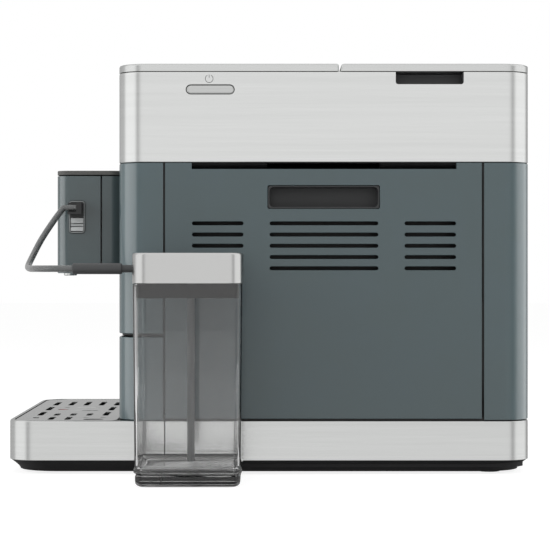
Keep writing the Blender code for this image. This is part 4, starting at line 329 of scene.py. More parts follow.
jar_clear = clear("grey_clear_san_jar", "#F8F8F8", 3.0, 0.01, JAR_IOR)
tank_clear = clear("grey_clear_san_tank", "#F2F5F5", 60.0, 0.05)
hopper_clear = clear("smoke_clear_san_hopper", "#D8DADA", 160.0, 0.04)
print("clear plastics with indices", SAN_IOR, "and", JAR_IOR)

# %% [markdown]
# ## Small metal parts, ceramic, glass and board
# The jar's lid is silver coated and mirrors the room softly. The chrome nozzles
# mirror it sharply, the sand cast aluminium of the heater is matt and a little
# lumpy, turned brass is warm and bright, and the ceramic burrs are chalky. They could
# share one grey, and then an open machine would look like a toy. The circuit board's
# copper tracks are a brick pattern a few millimetres wide, which reads as tracks and
# needs no drawing.

# %% Small metals, ceramic and board
METAL_MM = 1.43
METAL_HEIGHT = 0.00001
BRIGHTER, DIMMER = 0.85, 1.2  # times the roughness
TRACK_MM = 3.85
TRACK_GAP = 0.06


def metal(name, colour, shade, roughness, grain_mm=METAL_MM, height=METAL_HEIGHT):
    """Bare metal with a slight grain."""
    material, tree, shader = surface(name, colour, Metallic=1.0, Roughness=roughness)
    fine = grain(tree, grain_mm)
    vary(
        tree, shader, tint=(fine, shade, colour),
        gloss=(fine, roughness * BRIGHTER, roughness * DIMMER), relief=(fine, height),
    )
    return material


chrome = metal("chrome_plate", "#DCDDDC", "#D6D7D6", 0.12, 3.33, 0.000001)
silver = metal("satin_silver_jar_lid", "#CECECD", "#CACAC9", 0.22, 0.667, 0.000002)
aluminium = metal("cast_aluminium_heater", "#B8BABB", "#9FA1A3", 0.42, 2.0, 0.00006)
brass = metal("machined_brass", "#B5904A", "#A88544", 0.28)
ceramic = plastic("ceramic_burr", "#DBD8CF", "#D2CFC6", 0.45, 0.667, 0.00002)
display_pane = plastic("black_glass_pane", "#0A0A0B", "#090909", 0.08, 3.33, 0.0000005)

board_material, tree, shader = surface(
    "lacquered_circuit_board", "#0F4A2C", Roughness=0.35, Coat_Weight=0.6
)
place = add(tree, "ShaderNodeTexCoord")
tracks = add(
    tree, "ShaderNodeTexBrick",
    {"Scale": MM_PER_METRE / TRACK_MM, "Mortar Size": TRACK_GAP, "Color1": linear("#0F4A2C"),
     "Color2": linear("#12532F"), "Mortar": linear("#2F7A4B")},
    {"Vector": place.outputs["Object"]},
)
tree.links.new(tracks.outputs["Color"], shader.inputs["Base Color"])
print(len(bpy.data.materials), "materials in all")

# %% [markdown]
# ## The milk hose
# A silicone hose leads milk from the jar to the spout: 6 mm outside, 3.6 mm inside,
# and no longer than the photograph shows, because both its ends are in sight. It
# leaves the plug towards the front, sags forward and down under its own weight and
# comes back level into the sleeve of the jar's lid. A curve with handles would need
# each handle set by hand. A cubic curve whose slope at a point comes from the points
# on either side passes through every one that was measured, so a list is enough.

# %% Hose route
HOSE_DIAMETER = 0.006
HOSE_BORE = 0.0036
HOSE_POINTS = [  # from the plug to the sleeve, y from the machine's middle
    (-0.1880, -0.0622, 0.2510), (-0.1990, -0.0622, 0.2510), (-0.2042, -0.0652, 0.2455),
    (-0.2124, -0.0742, 0.2325), (-0.2196, -0.0880, 0.2185), (-0.2248, -0.1090, 0.2035),
    (-0.2253, -0.1395, 0.1940), (-0.2199, -0.1710, 0.1916), (-0.2105, -0.2000, 0.1914),
    (-0.1960, -0.2145, 0.1914), (-0.1790, -0.2170, 0.1914), (-0.1764, -0.2170, 0.1914),
]
STEPS_BETWEEN_POINTS = 8


def smooth_route(points, steps):
    """Cubic curve through all the points, with its first and last stretch straight."""
    line = [Vector(p) + Vector((0.0, MACHINE_Y, 0.0)) for p in points]
    out = [line[0]]
    for i in range(1, len(line) - 2):
        p0, p1, p2, p3 = line[i - 1:i + 3]
        for k in range(steps):
            t = k / steps
            out.append(0.5 * (
                2 * p1 + (p2 - p0) * t + (2 * p0 - 5 * p1 + 4 * p2 - p3) * t * t
                + (3 * p1 - p0 - 3 * p2 + p3) * t * t * t
            ))
    return out + [line[-2], line[-1]]


hose_path = smooth_route(HOSE_POINTS, STEPS_BETWEEN_POINTS)

# %% [markdown]
# A curve object with a round section would give the outside at once, but milky
# silicone shows its wall, so the hose needs a real bore. A tube is a ring of points
# carried along the path. The ring must not twist, so each ring's axes come from the
# last one's, turned only as much as the path turns. Two such skins, one inside the
# other and joined at both ends, make a hose.

# %% Tube helpers
SHARP_ANGLE = math.radians(35.0)  # edges that turn more than this stay sharp
TUBE_SIDES = 20


def new_object(name, bm, material):
    """Object from a bmesh, smooth except at its sharp edges."""
    bmesh.ops.recalc_face_normals(bm, faces=bm.faces)
    mesh = bpy.data.meshes.new(name)
    bm.to_mesh(mesh)
    bm.free()
    mesh.shade_smooth()
    mesh.set_sharp_from_angle(angle=SHARP_ANGLE)
    mesh.materials.append(material)
    obj = bpy.data.objects.new(name, mesh)
    bpy.context.scene.collection.objects.link(obj)
    return obj


def path_frames(path):
    """A pair of cross axes for each point of a path, without twist."""
    frames = []
    side = None
    for i in range(len(path)):
        along = (path[min(i + 1, len(path) - 1)] - path[max(i - 1, 0)]).normalized()
        if side is None:
            side = along.orthogonal().normalized()
        side = (side - along * side.dot(along)).normalized()
        frames.append((side, along.cross(side)))
    return frames


def tube(path, outer, inner):
    """Tube with a bore: rings of the outer radius out, then rings of the inner one back."""
    bm = bmesh.new()
    frames = path_frames(path)
    rings = []
    out = list(range(len(path)))
    for radius, walk in ((outer, out), (inner, out[::-1])):
        for i in walk:
            a, b = frames[i]
            rings.append([
                bm.verts.new(path[i] + radius * (a * math.cos(t) + b * math.sin(t)))
                for t in (2 * math.pi * k / TUBE_SIDES for k in range(TUBE_SIDES))
            ])
    for low, high in zip(rings, rings[1:] + rings[:1]):
        for k in range(TUBE_SIDES):
            after = (k + 1) % TUBE_SIDES
            bm.faces.new((low[k], low[after], high[after], high[k]))
    return bm


print("a tube has", TUBE_SIDES, "sides")

# %% [markdown]
# Silicone is milky: half of the light goes through it and the rest comes back from
# inside. So it mixes transmission with a grey colour, which clouds a little along
# its length, and its smooth skin has a gloss of its own on top. The jar's suction
# tube is stiffer and duller polypropylene, made the same way. The hose rides with
# the machine.

# %% Hose
CLOUD_MM, STREAM_MM = 33.3, 16.7
STREAM_ALONG_Z = (1.0, 1.0, 0.3)
HOSE_ROUGHNESS, TUBE_ROUGHNESS = (0.18, 0.28), (0.25, 0.36)

hose_material, tree, shader = surface(
    "translucent_silicone_hose", "#767878",
    Roughness=0.2, IOR=1.41, Transmission_Weight=0.5, Coat_Weight=0.6,
)
cloud = grain(tree, CLOUD_MM, detail=BROAD_DETAIL)
vary(
    tree, shader, tint=(cloud, "#727474", "#7B7D7D"), gloss=(cloud, *HOSE_ROUGHNESS),
    middle=NOISE_MIDDLE,
)

tube_material, tree, shader = surface(
    "grey_clear_pp_tube", "#9A9C9C", Roughness=0.3, IOR=1.49, Transmission_Weight=0.35
)
stream = grain(tree, STREAM_MM, STREAM_ALONG_Z, detail=BROAD_DETAIL)
vary(tree, shader, gloss=(stream, *TUBE_ROUGHNESS))

hose = new_object(
    "milk_hose_silicone", tube(hose_path, HOSE_DIAMETER / 2, HOSE_BORE / 2), hose_material
)
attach(hose, "machine")
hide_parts("milk_hose")
print("hose has", len(hose.data.polygons), "faces")

# %% [markdown]
# ## Covers and bands
# The CAD shells have the right shape but knife edges. Sheet metal and mouldings never
# do: a bevel of a few tenths of a millimetre catches a thin line of light, and that
# line is what makes an edge look real. Edges could be rounded by a shader alone, but
# that leaves the outline sharp. So each shell gets a finished copy, which stands for
# the CAD node: its flat areas are joined into single faces, its edges bevelled and
# its normals weighted to the large faces, so that flat walls shade flat.

# %% Finished copies
SLOTTED = (
    "service_panel", "rear_cover", "drip_grille", "top_frame", "mains_inlet", "spout_track",
)
WELD = 0.000003
SAME_PLANE, NEARLY_SAME_PLANE = math.radians(0.5), math.radians(0.8)
ANY_SHAPE = math.radians(180)
BEVEL_SEGMENTS = 2
FLAT_WEIGHT = 90


def finished(node, material, width):
    """A copy of a CAD node with clean faces and rounded edges, standing for that node."""
    bm = bmesh.new()
    bm.from_mesh(nodes[node].data)
    bmesh.ops.remove_doubles(bm, verts=bm.verts, dist=WELD)
    if node in SLOTTED:  # one face can't hold a hole, so these stay in several faces
        bmesh.ops.join_triangles(
            bm, faces=bm.faces, angle_face_threshold=SAME_PLANE, angle_shape_threshold=ANY_SHAPE
        )
    else:
        bmesh.ops.dissolve_limit(
            bm, angle_limit=NEARLY_SAME_PLANE, verts=bm.verts, edges=bm.edges
        )
    obj = new_object(node + "_finished", bm, material)
    if width:
        bevel = obj.modifiers.new("edge", "BEVEL")
        bevel.width = width
        bevel.segments = BEVEL_SEGMENTS
        bevel.limit_method = "ANGLE"
        bevel.angle_limit = SHARP_ANGLE
        bevel.miter_outer = "MITER_ARC"
        bevel.harden_normals = True
    weighted = obj.modifiers.new("flat", "WEIGHTED_NORMAL")
    weighted.keep_sharp = True
    weighted.weight = FLAT_WEIGHT
    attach(obj, body_of[node])
    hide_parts(node)
    return obj


print(len(SLOTTED), "nodes have holes in flat faces")

# %% [markdown]
# Each shell now takes its material and the width of its rounded edges: 0.2 or 0.3 mm
# on sheet steel, about half a millimetre on painted mouldings and 1.6 mm on the
# pressed button. One width for all would be quicker, but a sheet's edge is visibly
# sharper than a moulding's. The burrs keep their cutting edges, and the chassis is
# never seen close up, so these are left as they are.

# %% Finished shells
SHELLS = (
    ("base_band_rear", base_steel_painted_shade, 0.0002),
    ("base_band_front", base_steel_painted_shade, 0.0002),
    ("upper_band", band_steel, 0.0003),
    ("hopper_lid", lid_steel, 0.0002),
    ("tank_lid", lid_steel, 0.0002),
    ("front_cover", body_green, 0.0005),
    ("lower_front_cover", body_green, 0.0005),
    ("rear_cover", body_green, 0.0004),
    ("far_side_panel", body_green, 0.0004),
    ("service_panel", body_green, 0.0004),
    ("panel_grip", grip_grey, 0.0004),
    ("power_button", button_steel, 0.0016),
    ("drip_grille", band_steel, 0.0002),
    ("tray_float", float_red, 0.0004),
    ("spout_cover", spout_grey, 0.0006),
    ("spout_carrier", spout_grey, 0.0006),
    ("spout_cap", cap_grey, 0.0004),
    ("nozzle_near", chrome, 0.0003),
    ("nozzle_far", chrome, 0.0003),
    ("milk_port_slide", pad_grey, 0.0002),
    ("milk_plug", plug_dark, 0.0003),
    ("hose_sleeve", dark_plastic, 0.0003),
    ("jar_collar", collar_grey, 0.0003),
    ("base_frame", plinth_black, 0.0004),
    ("plinth_front", plinth_black, 0.0004),
    ("top_frame", frame_grey, 0.0003),
    ("tray_basin", black_plastic, 0.0004),
    ("grounds_container", dark_plastic, 0.0004),
    ("mains_inlet", black_plastic, 0.0002),
    ("display_glass", display_pane, 0.0003),
    ("spout_track", black_plastic, 0.0003),
    ("tank_outlet_valve", dark_plastic, 0.0003),
    ("hopper_lid_hinge", dark_plastic, 0.0003),
    ("tank_lid_hinge", dark_plastic, 0.0003),
    ("grinder_housing", dark_plastic, 0.0005),
    ("ground_coffee_chute", dark_plastic, 0.0004),
    ("brew_group_frame", dark_plastic, 0.0005),
    ("brew_chamber", grey_plastic, 0.0005),
    ("brew_piston", grey_plastic, 0.0005),
    ("brew_spindle", aluminium, 0.0003),
    ("grinder_motor", aluminium, 0.0005),
    ("water_pump", brass, 0.0005),
    ("thermoblock", aluminium, 0.0005),
    ("control_board", board_material, 0.0001),
    ("ring_burr", ceramic, 0.0),
    ("burr_cone", ceramic, 0.0),
    ("chassis", black_plastic, 0.0),
    ("water_tank", tank_clear, 0.0003),
    ("bean_hopper", hopper_clear, 0.0003),
    ("foot_front_near", rubber, 0.0003),
    ("foot_front_far", rubber, 0.0003),
    ("foot_rear_near", rubber, 0.0003),
    ("foot_rear_far", rubber, 0.0003),
    ("suction_tube", tube_material, 0.0002),
)
for node, material, width in SHELLS:
    finished(node, material, width)
print(len(SHELLS), "shells finished")

# %% [markdown]
# ## The milk port
# The port is a grey rim round an opening in shade. Two objects could be cut from it, but
# rim and opening are one moulding, so it stays one object with two materials: the
# faces that lie behind the rim's front, and between its sides, take the black one,
# which is painted shade inside the opening.

# %% Port rim
PORT_EDGE = 0.0002
PORT_FRONT_DEPTH = 0.0004
PORT_SIDE_MARGIN = 0.00065

port = finished("milk_port_frame", rim_grey, PORT_EDGE)
port.data.materials.append(black_plastic)
port_front = min(v.co.y for v in port.data.vertices)
port_left = min(v.co.x for v in port.data.vertices)
port_right = max(v.co.x for v in port.data.vertices)
# the black faces behind the rim are painted shade in the port's opening
for face in port.data.polygons:
    in_shaded_opening = port_left + PORT_SIDE_MARGIN < face.center.x < port_right - PORT_SIDE_MARGIN
    if face.center.y > port_front + PORT_FRONT_DEPTH and in_shaded_opening:
        face.material_index = 1
print("port rim from", round(port_left, 4), "to", round(port_right, 4))

# %% [markdown]
# ## The milk jar
# The jar and its lid are rounded boxes, drawn in or out a little from level to
# level. They could be cubes with a bevel, but then every level would have the same
# corner. Here each level is a rounded rectangle of its own, and one closed skin runs
# through all of them. The same skin later makes the printed sign and the ribs.

# %% Skins
LEAST_CORNER = 0.0012
CORNER_STEPS = 7


def box_of(node):
    """Least and greatest x, y and z of a CAD node."""
    points = [v.co for v in nodes[node].data.vertices]
    return [(min(p[i] for p in points), max(p[i] for p in points)) for i in range(3)]


def level(box, z, inset, corner):
    """Rounded rectangle at a height, drawn in from a box of x and y limits."""
    (x0, x1), (y0, y1) = box
    x0, x1, y0, y1 = x0 + inset, x1 - inset, y0 + inset, y1 - inset
    radius = max(corner - inset, LEAST_CORNER)
    points = []
    for x, y, start in (
        (x1 - radius, y1 - radius, 0), (x0 + radius, y1 - radius, 90),
        (x0 + radius, y0 + radius, 180), (x1 - radius, y0 + radius, 270),
    ):
        for k in range(CORNER_STEPS + 1):
            turn = math.radians(start + 90 * k / CORNER_STEPS)
            points.append((x + radius * math.cos(turn), y + radius * math.sin(turn), z))
    return points


def skin(levels, bm=None):
    """Closed skin through rings of points, flat at both ends, in a new or given bmesh."""
    if bm is None:
        bm = bmesh.new()
    rings = [[bm.verts.new(point) for point in points] for points in levels]
    for low, high in zip(rings, rings[1:]):
        for k in range(len(low)):
            after = (k + 1) % len(low)
            bm.faces.new((low[k], low[after], high[after], high[k]))
    bm.faces.new(rings[0])
    bm.faces.new(rings[-1])
    return bm


print("a rounded rectangle has", 4 * (CORNER_STEPS + 1), "points")

# %% [markdown]
# The jar is one clear moulding with a heavy foot. Light bends twice at every wall, so
# its look comes from its true section: walls 2.4 mm thick that lean out a little
# towards the top, an inner floor with round corners, a round foot, a groove above it
# and a lip above the groove. The skin runs up the outside, over the rim, down the
# inside and ends as the inner floor.

# %% Jar
JAR_WALL = 0.0024
JAR_FLOOR = 0.0136
JAR_TAPER = 0.0015
JAR_CORNER = 0.009
JAR_FLOOR_ROUND = 0.0055
JAR_FOOT = (  # height and how far it is drawn in: the round foot, the groove, the lip
    (0.0, 0.0090), (0.0006, 0.0050), (0.0016, 0.0024), (0.0032, 0.0009), (0.0056, 0.0004),
    (0.0098, 0.0004), (0.0108, 0.0012), (0.0118, 0.0012), (0.0128, -0.0007),
    (0.0140, -0.0010), (0.0158, -0.0009), (0.0176, 0.0), (0.0200, 0.0),
)
JAR_WALL_LEVELS = (0.06, 0.10, 0.14)
JAR_RIM_DROP, JAR_RIM_INSET = 0.0005, 0.0004
ROUND_STEPS = 5

jar_box = box_of("milk_jar")
jar_top_z = jar_box[2][1]


def jar_level(z, inset, lean=True):
    """One level of the jar, which leans in below its rim."""
    taper = JAR_TAPER * (1 - z / jar_top_z) if lean else 0.0
    return level(jar_box[:2], z, taper + inset, JAR_CORNER)


levels = [jar_level(z, inset) for z, inset in JAR_FOOT]
levels += [jar_level(z, 0.0) for z in JAR_WALL_LEVELS]
levels += [
    jar_level(jar_top_z - JAR_RIM_DROP, 0.0, lean=False),
    jar_level(jar_top_z, JAR_RIM_INSET),
    jar_level(jar_top_z, JAR_WALL - JAR_RIM_INSET),
    jar_level(jar_top_z - JAR_RIM_DROP, JAR_WALL, lean=False),
]
levels += [jar_level(z, JAR_WALL) for z in JAR_WALL_LEVELS[::-1]]
for k in range(ROUND_STEPS + 1):
    turn = math.radians(90 * k / ROUND_STEPS)
    z = JAR_FLOOR + JAR_FLOOR_ROUND * (1 - math.sin(turn))
    levels.append(jar_level(z, JAR_WALL + JAR_FLOOR_ROUND * (1 - math.cos(turn))))
jar = new_object("milk_jar_moulding", skin(levels), jar_clear)
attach(jar, "jar")
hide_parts("milk_jar")
print("jar has", len(jar.data.polygons), "faces")

# %% [markdown]
# The jar's lid is a pressed cap with a satin silver coat. A bevelled copy of the CAD
# lid would do, but the real corners are rounder than the jar's, which is what makes
# the bright and dark stripes at its ends so wide. So it is a skin as well: from the
# inside of its top down, round its lower edge, and up to the round top.

# %% Jar lid
LID_CORNER = 0.0145
LID_WALL = 0.0025
LID_ROUND = 0.0022
LID_EDGE = 0.0004

*lid_plan, (lid_low, lid_high) = box_of("milk_lid")
levels = [
    level(lid_plan, lid_high - LID_WALL, LID_WALL, LID_CORNER),
    level(lid_plan, lid_low, LID_WALL, LID_CORNER),
    level(lid_plan, lid_low, LID_EDGE, LID_CORNER),
    level(lid_plan, lid_low + LID_EDGE, 0.0, LID_CORNER),
]
for k in range(ROUND_STEPS + 1):
    turn = math.radians(90 * k / ROUND_STEPS)
    z = lid_high - LID_ROUND * (1 - math.sin(turn))
    levels.append(level(lid_plan, z, LID_ROUND * (1 - math.cos(turn)), LID_CORNER))
jar_lid = new_object("milk_lid_cap", skin(levels), silver)
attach(jar_lid, "jar_top")
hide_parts("milk_lid")
print("lid", round((lid_high - lid_low) * MM_PER_METRE, 1), "mm high")

# %% [markdown]
# ## Shut lines
# Covers, spout and cap are separate mouldings. A shut line between two mouldings is a
# gap of about a millimetre with darkness behind it. A dark stripe could be painted
# there, but a real gap stays dark from every side and opens when the pieces move.
# So the rim of one moulding is drawn back from its neighbour.

# %% Shut lines
RIM_DEPTH = 0.0004
X, Z = 0, 2
HIGH, LOW = 1, -1
SHUT_LINES = (  # node, axis, which end of it, distance
    ("spout_cover", Z, HIGH, 0.0009),
    ("spout_carrier", Z, HIGH, 0.0009),
    ("spout_cover", X, HIGH, 0.0009),
    ("front_cover", X, HIGH, 0.0010),
    ("lower_front_cover", X, HIGH, 0.0010),
    ("service_panel", X, HIGH, 0.0013),
    ("service_panel", Z, LOW, 0.0015),
    ("rear_cover", Z, LOW, 0.0004),
)
for node, axis, side, distance in SHUT_LINES:
    mesh = bpy.data.objects[node + "_finished"].data
    rim = max(v.co[axis] * side for v in mesh.vertices)
    for v in mesh.vertices:
        if v.co[axis] * side > rim - RIM_DEPTH:
            v.co[axis] -= side * distance
print(len(SHUT_LINES), "shut lines opened")

# %% [markdown]
# ## The slider's finger grooves
# Two grooves run across the port's slider, so that a finger can push it. They
# could be cut out of it, but at half a millimetre only the shade inside them can be
# seen, so each is a thin dark strip, painted shade, that lies a tenth of a millimetre proud.

# %% Slider grooves
GROOVE_HEIGHT, GROOVE_PROUD = 0.0005, 0.0001
GROOVES = ((0.34, 0.02), (0.56, 0.22))  # shares of the pad: height, start from the left


def slab(bm, low, high):
    """Adds a box between two opposite corners."""
    for v in bmesh.ops.create_cube(bm, size=1.0)["verts"]:
        v.co = Vector([a + (c + 0.5) * (b - a) for a, b, c in zip(low, high, v.co)])


(pad_left, pad_right), (pad_front, _), (pad_low, pad_high) = box_of("milk_port_slide")
bm = bmesh.new()
for height, start in GROOVES:
    x = pad_left + (pad_right - pad_left) * start
    z = pad_low + (pad_high - pad_low) * height
    slab(
        bm, (x, pad_front - GROOVE_PROUD, z - GROOVE_HEIGHT / 2),
        (pad_right, pad_front + GROOVE_PROUD, z + GROOVE_HEIGHT / 2),
    )
# the dark strips are painted shade, standing for the shadow inside each groove
groove_shade_strips = new_object("slider_groove_shade_strips", bm, dark_plastic)
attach(groove_shade_strips, body_of["milk_port_slide"])
print("groove_shade_strips", GROOVE_HEIGHT * MM_PER_METRE, "mm high")

# %% [markdown]
# ## The power sign
# The usual power sign, an open ring with a bar, is printed over the button. A picture
# would blur when seen close up. Print has a sharp edge and almost no height, so the
# sign is a strip a few hundredths of a millimetre proud of the steel.

# %% Power sign
SIGN_X, SIGN_Z = -0.0556, 0.3680
SIGN_RADIUS, SIGN_LINE = 0.0036, 0.00050
SIGN_PROUD = 0.00004
SIGN_OPENING = 56  # degrees, at the top of the ring
SIGN_STEPS = 28
BAR_MIDDLE, BAR_LENGTH = 0.62, 0.85  # in radii

face_y = box_of("upper_band")[1][0] - SIGN_PROUD
back_y = face_y + SIGN_PROUD / 2
inner, outer = SIGN_RADIUS - SIGN_LINE / 2, SIGN_RADIUS + SIGN_LINE / 2
rings = []
for k in range(SIGN_STEPS + 1):
    turn = math.radians(90 + SIGN_OPENING / 2 + (360 - SIGN_OPENING) * k / SIGN_STEPS)
    rings.append([
        (SIGN_X + radius * math.cos(turn), y, SIGN_Z + radius * math.sin(turn))
        for radius, y in ((inner, face_y), (outer, face_y), (outer, back_y), (inner, back_y))
    ])
bm = skin(rings)
bar_z = SIGN_Z + SIGN_RADIUS * BAR_MIDDLE
bar_half = SIGN_RADIUS * BAR_LENGTH / 2
slab(
    bm, (SIGN_X - SIGN_LINE / 2, face_y, bar_z - bar_half),
    (SIGN_X + SIGN_LINE / 2, back_y, bar_z + bar_half),
)
sign = new_object("power_sign", bm, sign_grey)
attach(sign, "machine")
print("sign", round(2 * SIGN_RADIUS * MM_PER_METRE, 1), "mm across")

# %% [markdown]
# ## Embossed ribs on the grille
# Two shallow ribs run across the middle of the grille and stiffen the thin sheet.
# Pressing them into the sheet's own mesh would mean cutting up its large faces, so
# they lie on it as low, round-topped strips. Each has a dark strip of painted shadow
# along its near side, where the real emboss leaves a narrow shadow.

# %% Grille ribs
RIB_LEFT, RIB_RIGHT = -0.1965, -0.1700
RIB_MIDDLES = (0.0215, -0.0160)  # y from the machine's middle
RIB_WIDTH, RIB_RISE = 0.0022, 0.0005
RIB_SECTION = ((-1.0, 0.0), (-0.6, 0.8), (0.0, 1.0), (0.6, 0.8), (1.0, 0.0))
RIB_SUNK = 0.0001
RIB_RUN_OUT, RIB_TIP = 0.0015, 0.3  # it tapers to this share of its section
RIB_SHADOW_WIDTH, RIB_SHADOW_RISE, RIB_SHADOW_SHORTER = 0.0016, 0.00005, 0.001

grille_top = box_of("drip_grille")[2][1]
ribs_bm, shadow_bm = bmesh.new(), bmesh.new()
for middle in RIB_MIDDLES:
    y = middle + MACHINE_Y
    ends = (
        (RIB_LEFT, RIB_TIP), (RIB_LEFT + RIB_RUN_OUT, 1.0),
        (RIB_RIGHT - RIB_RUN_OUT, 1.0), (RIB_RIGHT, RIB_TIP),
    )
    skin([
        [
            (x, y + a * RIB_WIDTH / 2 * size, grille_top - RIB_SUNK + b * RIB_RISE * size)
            for a, b in RIB_SECTION
        ]
        for x, size in ends
    ], ribs_bm)
    # a black strip along the near side of each rib is painted shadow of the emboss
    shadow_y = y - RIB_WIDTH / 2
    slab(
        shadow_bm,
        (RIB_LEFT + RIB_SHADOW_SHORTER, shadow_y - RIB_SHADOW_WIDTH, grille_top - RIB_SHADOW_RISE),
        (RIB_RIGHT - RIB_SHADOW_SHORTER, shadow_y, grille_top + RIB_SHADOW_RISE),
    )
ribs = new_object("grille_ribs", ribs_bm, band_steel)
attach(ribs, "grille")
rib_shadow_strips = new_object("grille_rib_painted_shadow", shadow_bm, black_plastic)
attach(rib_shadow_strips, "grille")
print("ribs", round((RIB_RIGHT - RIB_LEFT) * MM_PER_METRE, 1), "mm long")

# %% [markdown]
# ## The floor
# The photograph was made on white, with a faint shadow under the plinth. A white
# floor that is only lit needs so much light that the machine would glare. So the
# camera sees paint that also glows a little, almost to white, and the rest of the
# scene meets plain pale paint. The lit paint is what keeps the shadow. Rays that have
# gone right through the jar, past more than five of its surfaces, see it as the
# camera does. Mirrors don't see the floor at all: they have the room below.

# %% Floor
FLOOR_REACH = 9.0
FLOOR_GLOW = 0.82
SURFACES_OF_JAR = 5.5  # a ray that crossed more surfaces than this has left the jar

floor_bm = bmesh.new()
for x, y in ((-1, -1), (1, -1), (1, 1), (-1, 1)):
    floor_bm.verts.new((x * FLOOR_REACH, y * FLOOR_REACH, 0.0))
floor_bm.faces.new(floor_bm.verts)
floor_material = bpy.data.materials.new("pale_studio_floor")
floor_material.use_nodes = True
tree = floor_material.node_tree
tree.nodes.clear()
rays = add(tree, "ShaderNodeLightPath")
paint = add(tree, "ShaderNodeBsdfDiffuse", {"Color": linear("#E6E6E6")})
lit_paint = add(tree, "ShaderNodeBsdfDiffuse", {"Color": linear("#949494")})
glow = add(tree, "ShaderNodeEmission", {"Color": linear("#FFFFFF"), "Strength": FLOOR_GLOW})
lit = add(tree, "ShaderNodeAddShader", None, {0: lit_paint, 1: glow})
beyond = add(
    tree, "ShaderNodeMath", {"operation": "GREATER_THAN", 1: SURFACES_OF_JAR},
    {0: rays.outputs["Transmission Depth"]},
)
seen = add(
    tree, "ShaderNodeMath", {"operation": "MAXIMUM"},
    {0: rays.outputs["Is Camera Ray"], 1: beyond},
)
both = add(tree, "ShaderNodeMixShader", None, {0: seen, 1: paint, 2: lit})
add(tree, "ShaderNodeOutputMaterial", None, {"Surface": both})
floor = new_object("studio_floor", floor_bm, floor_material)
floor.visible_glossy = False
print("floor", 2 * FLOOR_REACH, "m across")

# %% [markdown]
# ## The room
# Shiny surfaces show the room, so the room needs a shape. Soft boxes could be built
# as bright planes, but a world that changes with direction is smoother and faster.
# Round the machine it is bright at both sides, where a studio has its soft boxes,
# darker in two narrow gaps beside the camera, and darkest behind the machine. That
# gives each rounded corner its bright stripe with a thin dark line beside it. Above
# it is bright, and below the horizon it is as dim as a table in shadow.

# %% Room
STUDIO_ROUND = (  # degrees from the camera's side, left negative, with the brightness there
    (-180, 0.44), (-140, 0.54), (-108, 0.62), (-100, 0.92), (-92, 1.10), (-52, 1.10),
    (-45, 0.94), (-39, 0.55), (-33, 0.55), (-27, 0.78), (-20, 0.93), (0, 0.93), (30, 0.93),
    (38, 0.80), (44, 0.54), (50, 0.54), (56, 0.80), (64, 1.08), (117, 1.08), (128, 0.60),
    (140, 0.42), (180, 0.42),
)
# Above and below, the last number takes over between the first two, which are the
# height of a direction with a length of 1.
STUDIO_ABOVE = (0.45, 0.8, 0.95)
STUDIO_BELOW = (-0.35, -0.7, 0.30)

world = bpy.data.worlds.new("studio_world")
bpy.context.scene.world = world
world.use_nodes = True
tree = world.node_tree
place = add(tree, "ShaderNodeTexCoord")
axes = add(tree, "ShaderNodeSeparateXYZ", None, {"Vector": place.outputs["Generated"]})
to_camera = add(
    tree, "ShaderNodeMath", {"operation": "MULTIPLY", 1: -1.0}, {0: axes.outputs["Y"]}
)
turn = add(
    tree, "ShaderNodeMath", {"operation": "ARCTAN2"}, {0: axes.outputs["X"], 1: to_camera}
)
share = add(  # a turn from -pi to pi becomes 0 to 1
    tree, "ShaderNodeMath", {"operation": "MULTIPLY_ADD", 1: 0.5 / math.pi, 2: 0.5}, {0: turn}
)
stops = [((degrees + 180) / 360, (v, v, v, 1.0)) for degrees, v in STUDIO_ROUND]
room = add(tree, "ShaderNodeValToRGB", {"stops": stops}, {"Fac": share})
for start, end, brightness in (STUDIO_ABOVE, STUDIO_BELOW):
    lean = add(
        tree, "ShaderNodeMapRange", {"From Min": start, "From Max": end},
        {"Value": axes.outputs["Z"]},
    )
    room = add(
        tree, "ShaderNodeMix", {"data_type": "FLOAT", 3: brightness}, {0: lean, 2: room}
    )
brightnesses = [v for _, v in STUDIO_ROUND]
print("room brightness from", min(brightnesses), "to", max(brightnesses))

# %% [markdown]
# That room is for mirrors only. The camera sees plain white behind the machine. Dull
# surfaces get an even, dimmer light, so that their colours come out as they were
# written. A ray inside the jar, which has crossed one to five of its surfaces, meets
# near darkness: real clear walls show dark lines at their edges, because a studio
# keeps black card beside the glass.

# %% World
STUDIO_DIFFUSE = 0.55
STUDIO_THROUGH = 0.16
STUDIO_SEEN = 1.0
FIRST_SURFACE = 0.5

rays = add(tree, "ShaderNodeLightPath")
in_jar = add(
    tree, "ShaderNodeMath",
    {"operation": "COMPARE", 1: (SURFACES_OF_JAR + FIRST_SURFACE) / 2,
     2: (SURFACES_OF_JAR - FIRST_SURFACE) / 2},
    {0: rays.outputs["Transmission Depth"]},
)
shiny = add(
    tree, "ShaderNodeMath", {"operation": "MAXIMUM"},
    {0: rays.outputs["Is Glossy Ray"], 1: rays.outputs["Is Transmission Ray"]},
)
mirrored = add(
    tree, "ShaderNodeMix", {"data_type": "FLOAT", 3: STUDIO_THROUGH}, {0: in_jar, 2: room}
)
lighting = add(
    tree, "ShaderNodeMix", {"data_type": "FLOAT", 2: STUDIO_DIFFUSE}, {0: shiny, 3: mirrored}
)
strength = add(
    tree, "ShaderNodeMix", {"data_type": "FLOAT", 3: STUDIO_SEEN},
    {0: rays.outputs["Is Camera Ray"], 2: lighting},
)
background = tree.nodes["Background"]
background.inputs["Color"].default_value = linear("#FFFFFF")
tree.links.new(strength.outputs[0], background.inputs["Strength"])
bpy.context.scene.view_settings.view_transform = "Standard"
print("dull surfaces get", STUDIO_DIFFUSE, "of white")

# %% [markdown]
# ## The lamps
# Four large soft boxes model the form: one at each side, one above and one in front.
# They light dull surfaces only, because the room already stands for their mirror
# images, and shown twice they would burn out the steel.

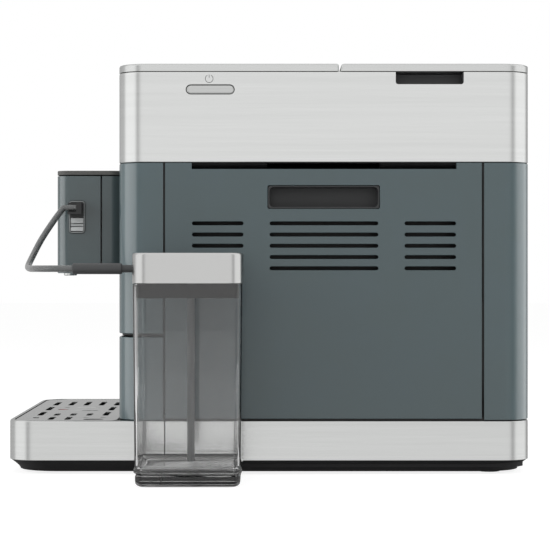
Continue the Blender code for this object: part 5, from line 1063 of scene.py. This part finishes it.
# %% Lamps
AIM = (0.0, 0.0, 0.2)
SOFT_BOXES = (  # name, place, aim, width, height, watts
    ("left_soft_box", (-1.6, -0.55, 0.55), AIM, 0.5, 1.3, 20.0),
    ("right_soft_box", (1.6, -0.3, 0.55), AIM, 0.5, 1.3, 20.0),
    ("top_soft_box", (0.0, -0.3, 1.7), (0.0, 0.05, 0.2), 1.4, 1.0, 8.0),
    ("front_soft_box", (0.0, -2.6, 1.0), AIM, 1.8, 1.0, 9.0),
)


def soft_box(name, place, aim, width, height, watts):
    """A rectangular area lamp that faces a point and that mirrors and glass don't show."""
    lamp = bpy.data.lights.new(name, "AREA")
    lamp.shape = "RECTANGLE"
    lamp.size = width
    lamp.size_y = height
    lamp.energy = watts
    obj = bpy.data.objects.new(name, lamp)
    bpy.context.scene.collection.objects.link(obj)
    obj.location = place
    obj.rotation_euler = (Vector(aim) - Vector(place)).to_track_quat("-Z", "Y").to_euler()
    obj.visible_glossy = False
    obj.visible_transmission = False
    return obj


for values in SOFT_BOXES:
    soft_box(*values)
print(len(SOFT_BOXES), "soft boxes")

# %% [markdown]
# The painted covers have a broad pale stripe along their rounded ends. It comes from
# two larger and lower boxes, one at each side, which do show in the paint. They are
# brighter than the steel can take. Hiding them from the steel by a wall would throw
# shadows, so light linking lets them light the painted covers alone.

# %% Edge lamps
EDGE_BOXES = (("left_edge_box", -71, 10.5), ("right_edge_box", 94, 7.5))  # degrees, watts
EDGE_DISTANCE, EDGE_HEIGHT = 1.5, 0.3
EDGE_SIZE = (1.6, 1.4)

painted = bpy.data.collections.new("painted_covers")
for node in ("front_cover", "lower_front_cover", "rear_cover", "spout_cover"):
    painted.objects.link(bpy.data.objects[node + "_finished"])
for name, degrees, watts in EDGE_BOXES:
    turn = math.radians(degrees)
    place = (EDGE_DISTANCE * math.sin(turn), -EDGE_DISTANCE * math.cos(turn), EDGE_HEIGHT)
    edge_box = soft_box(name, place, AIM, *EDGE_SIZE, watts)
    edge_box.visible_glossy = True
    edge_box.light_linking.receiver_collection = painted
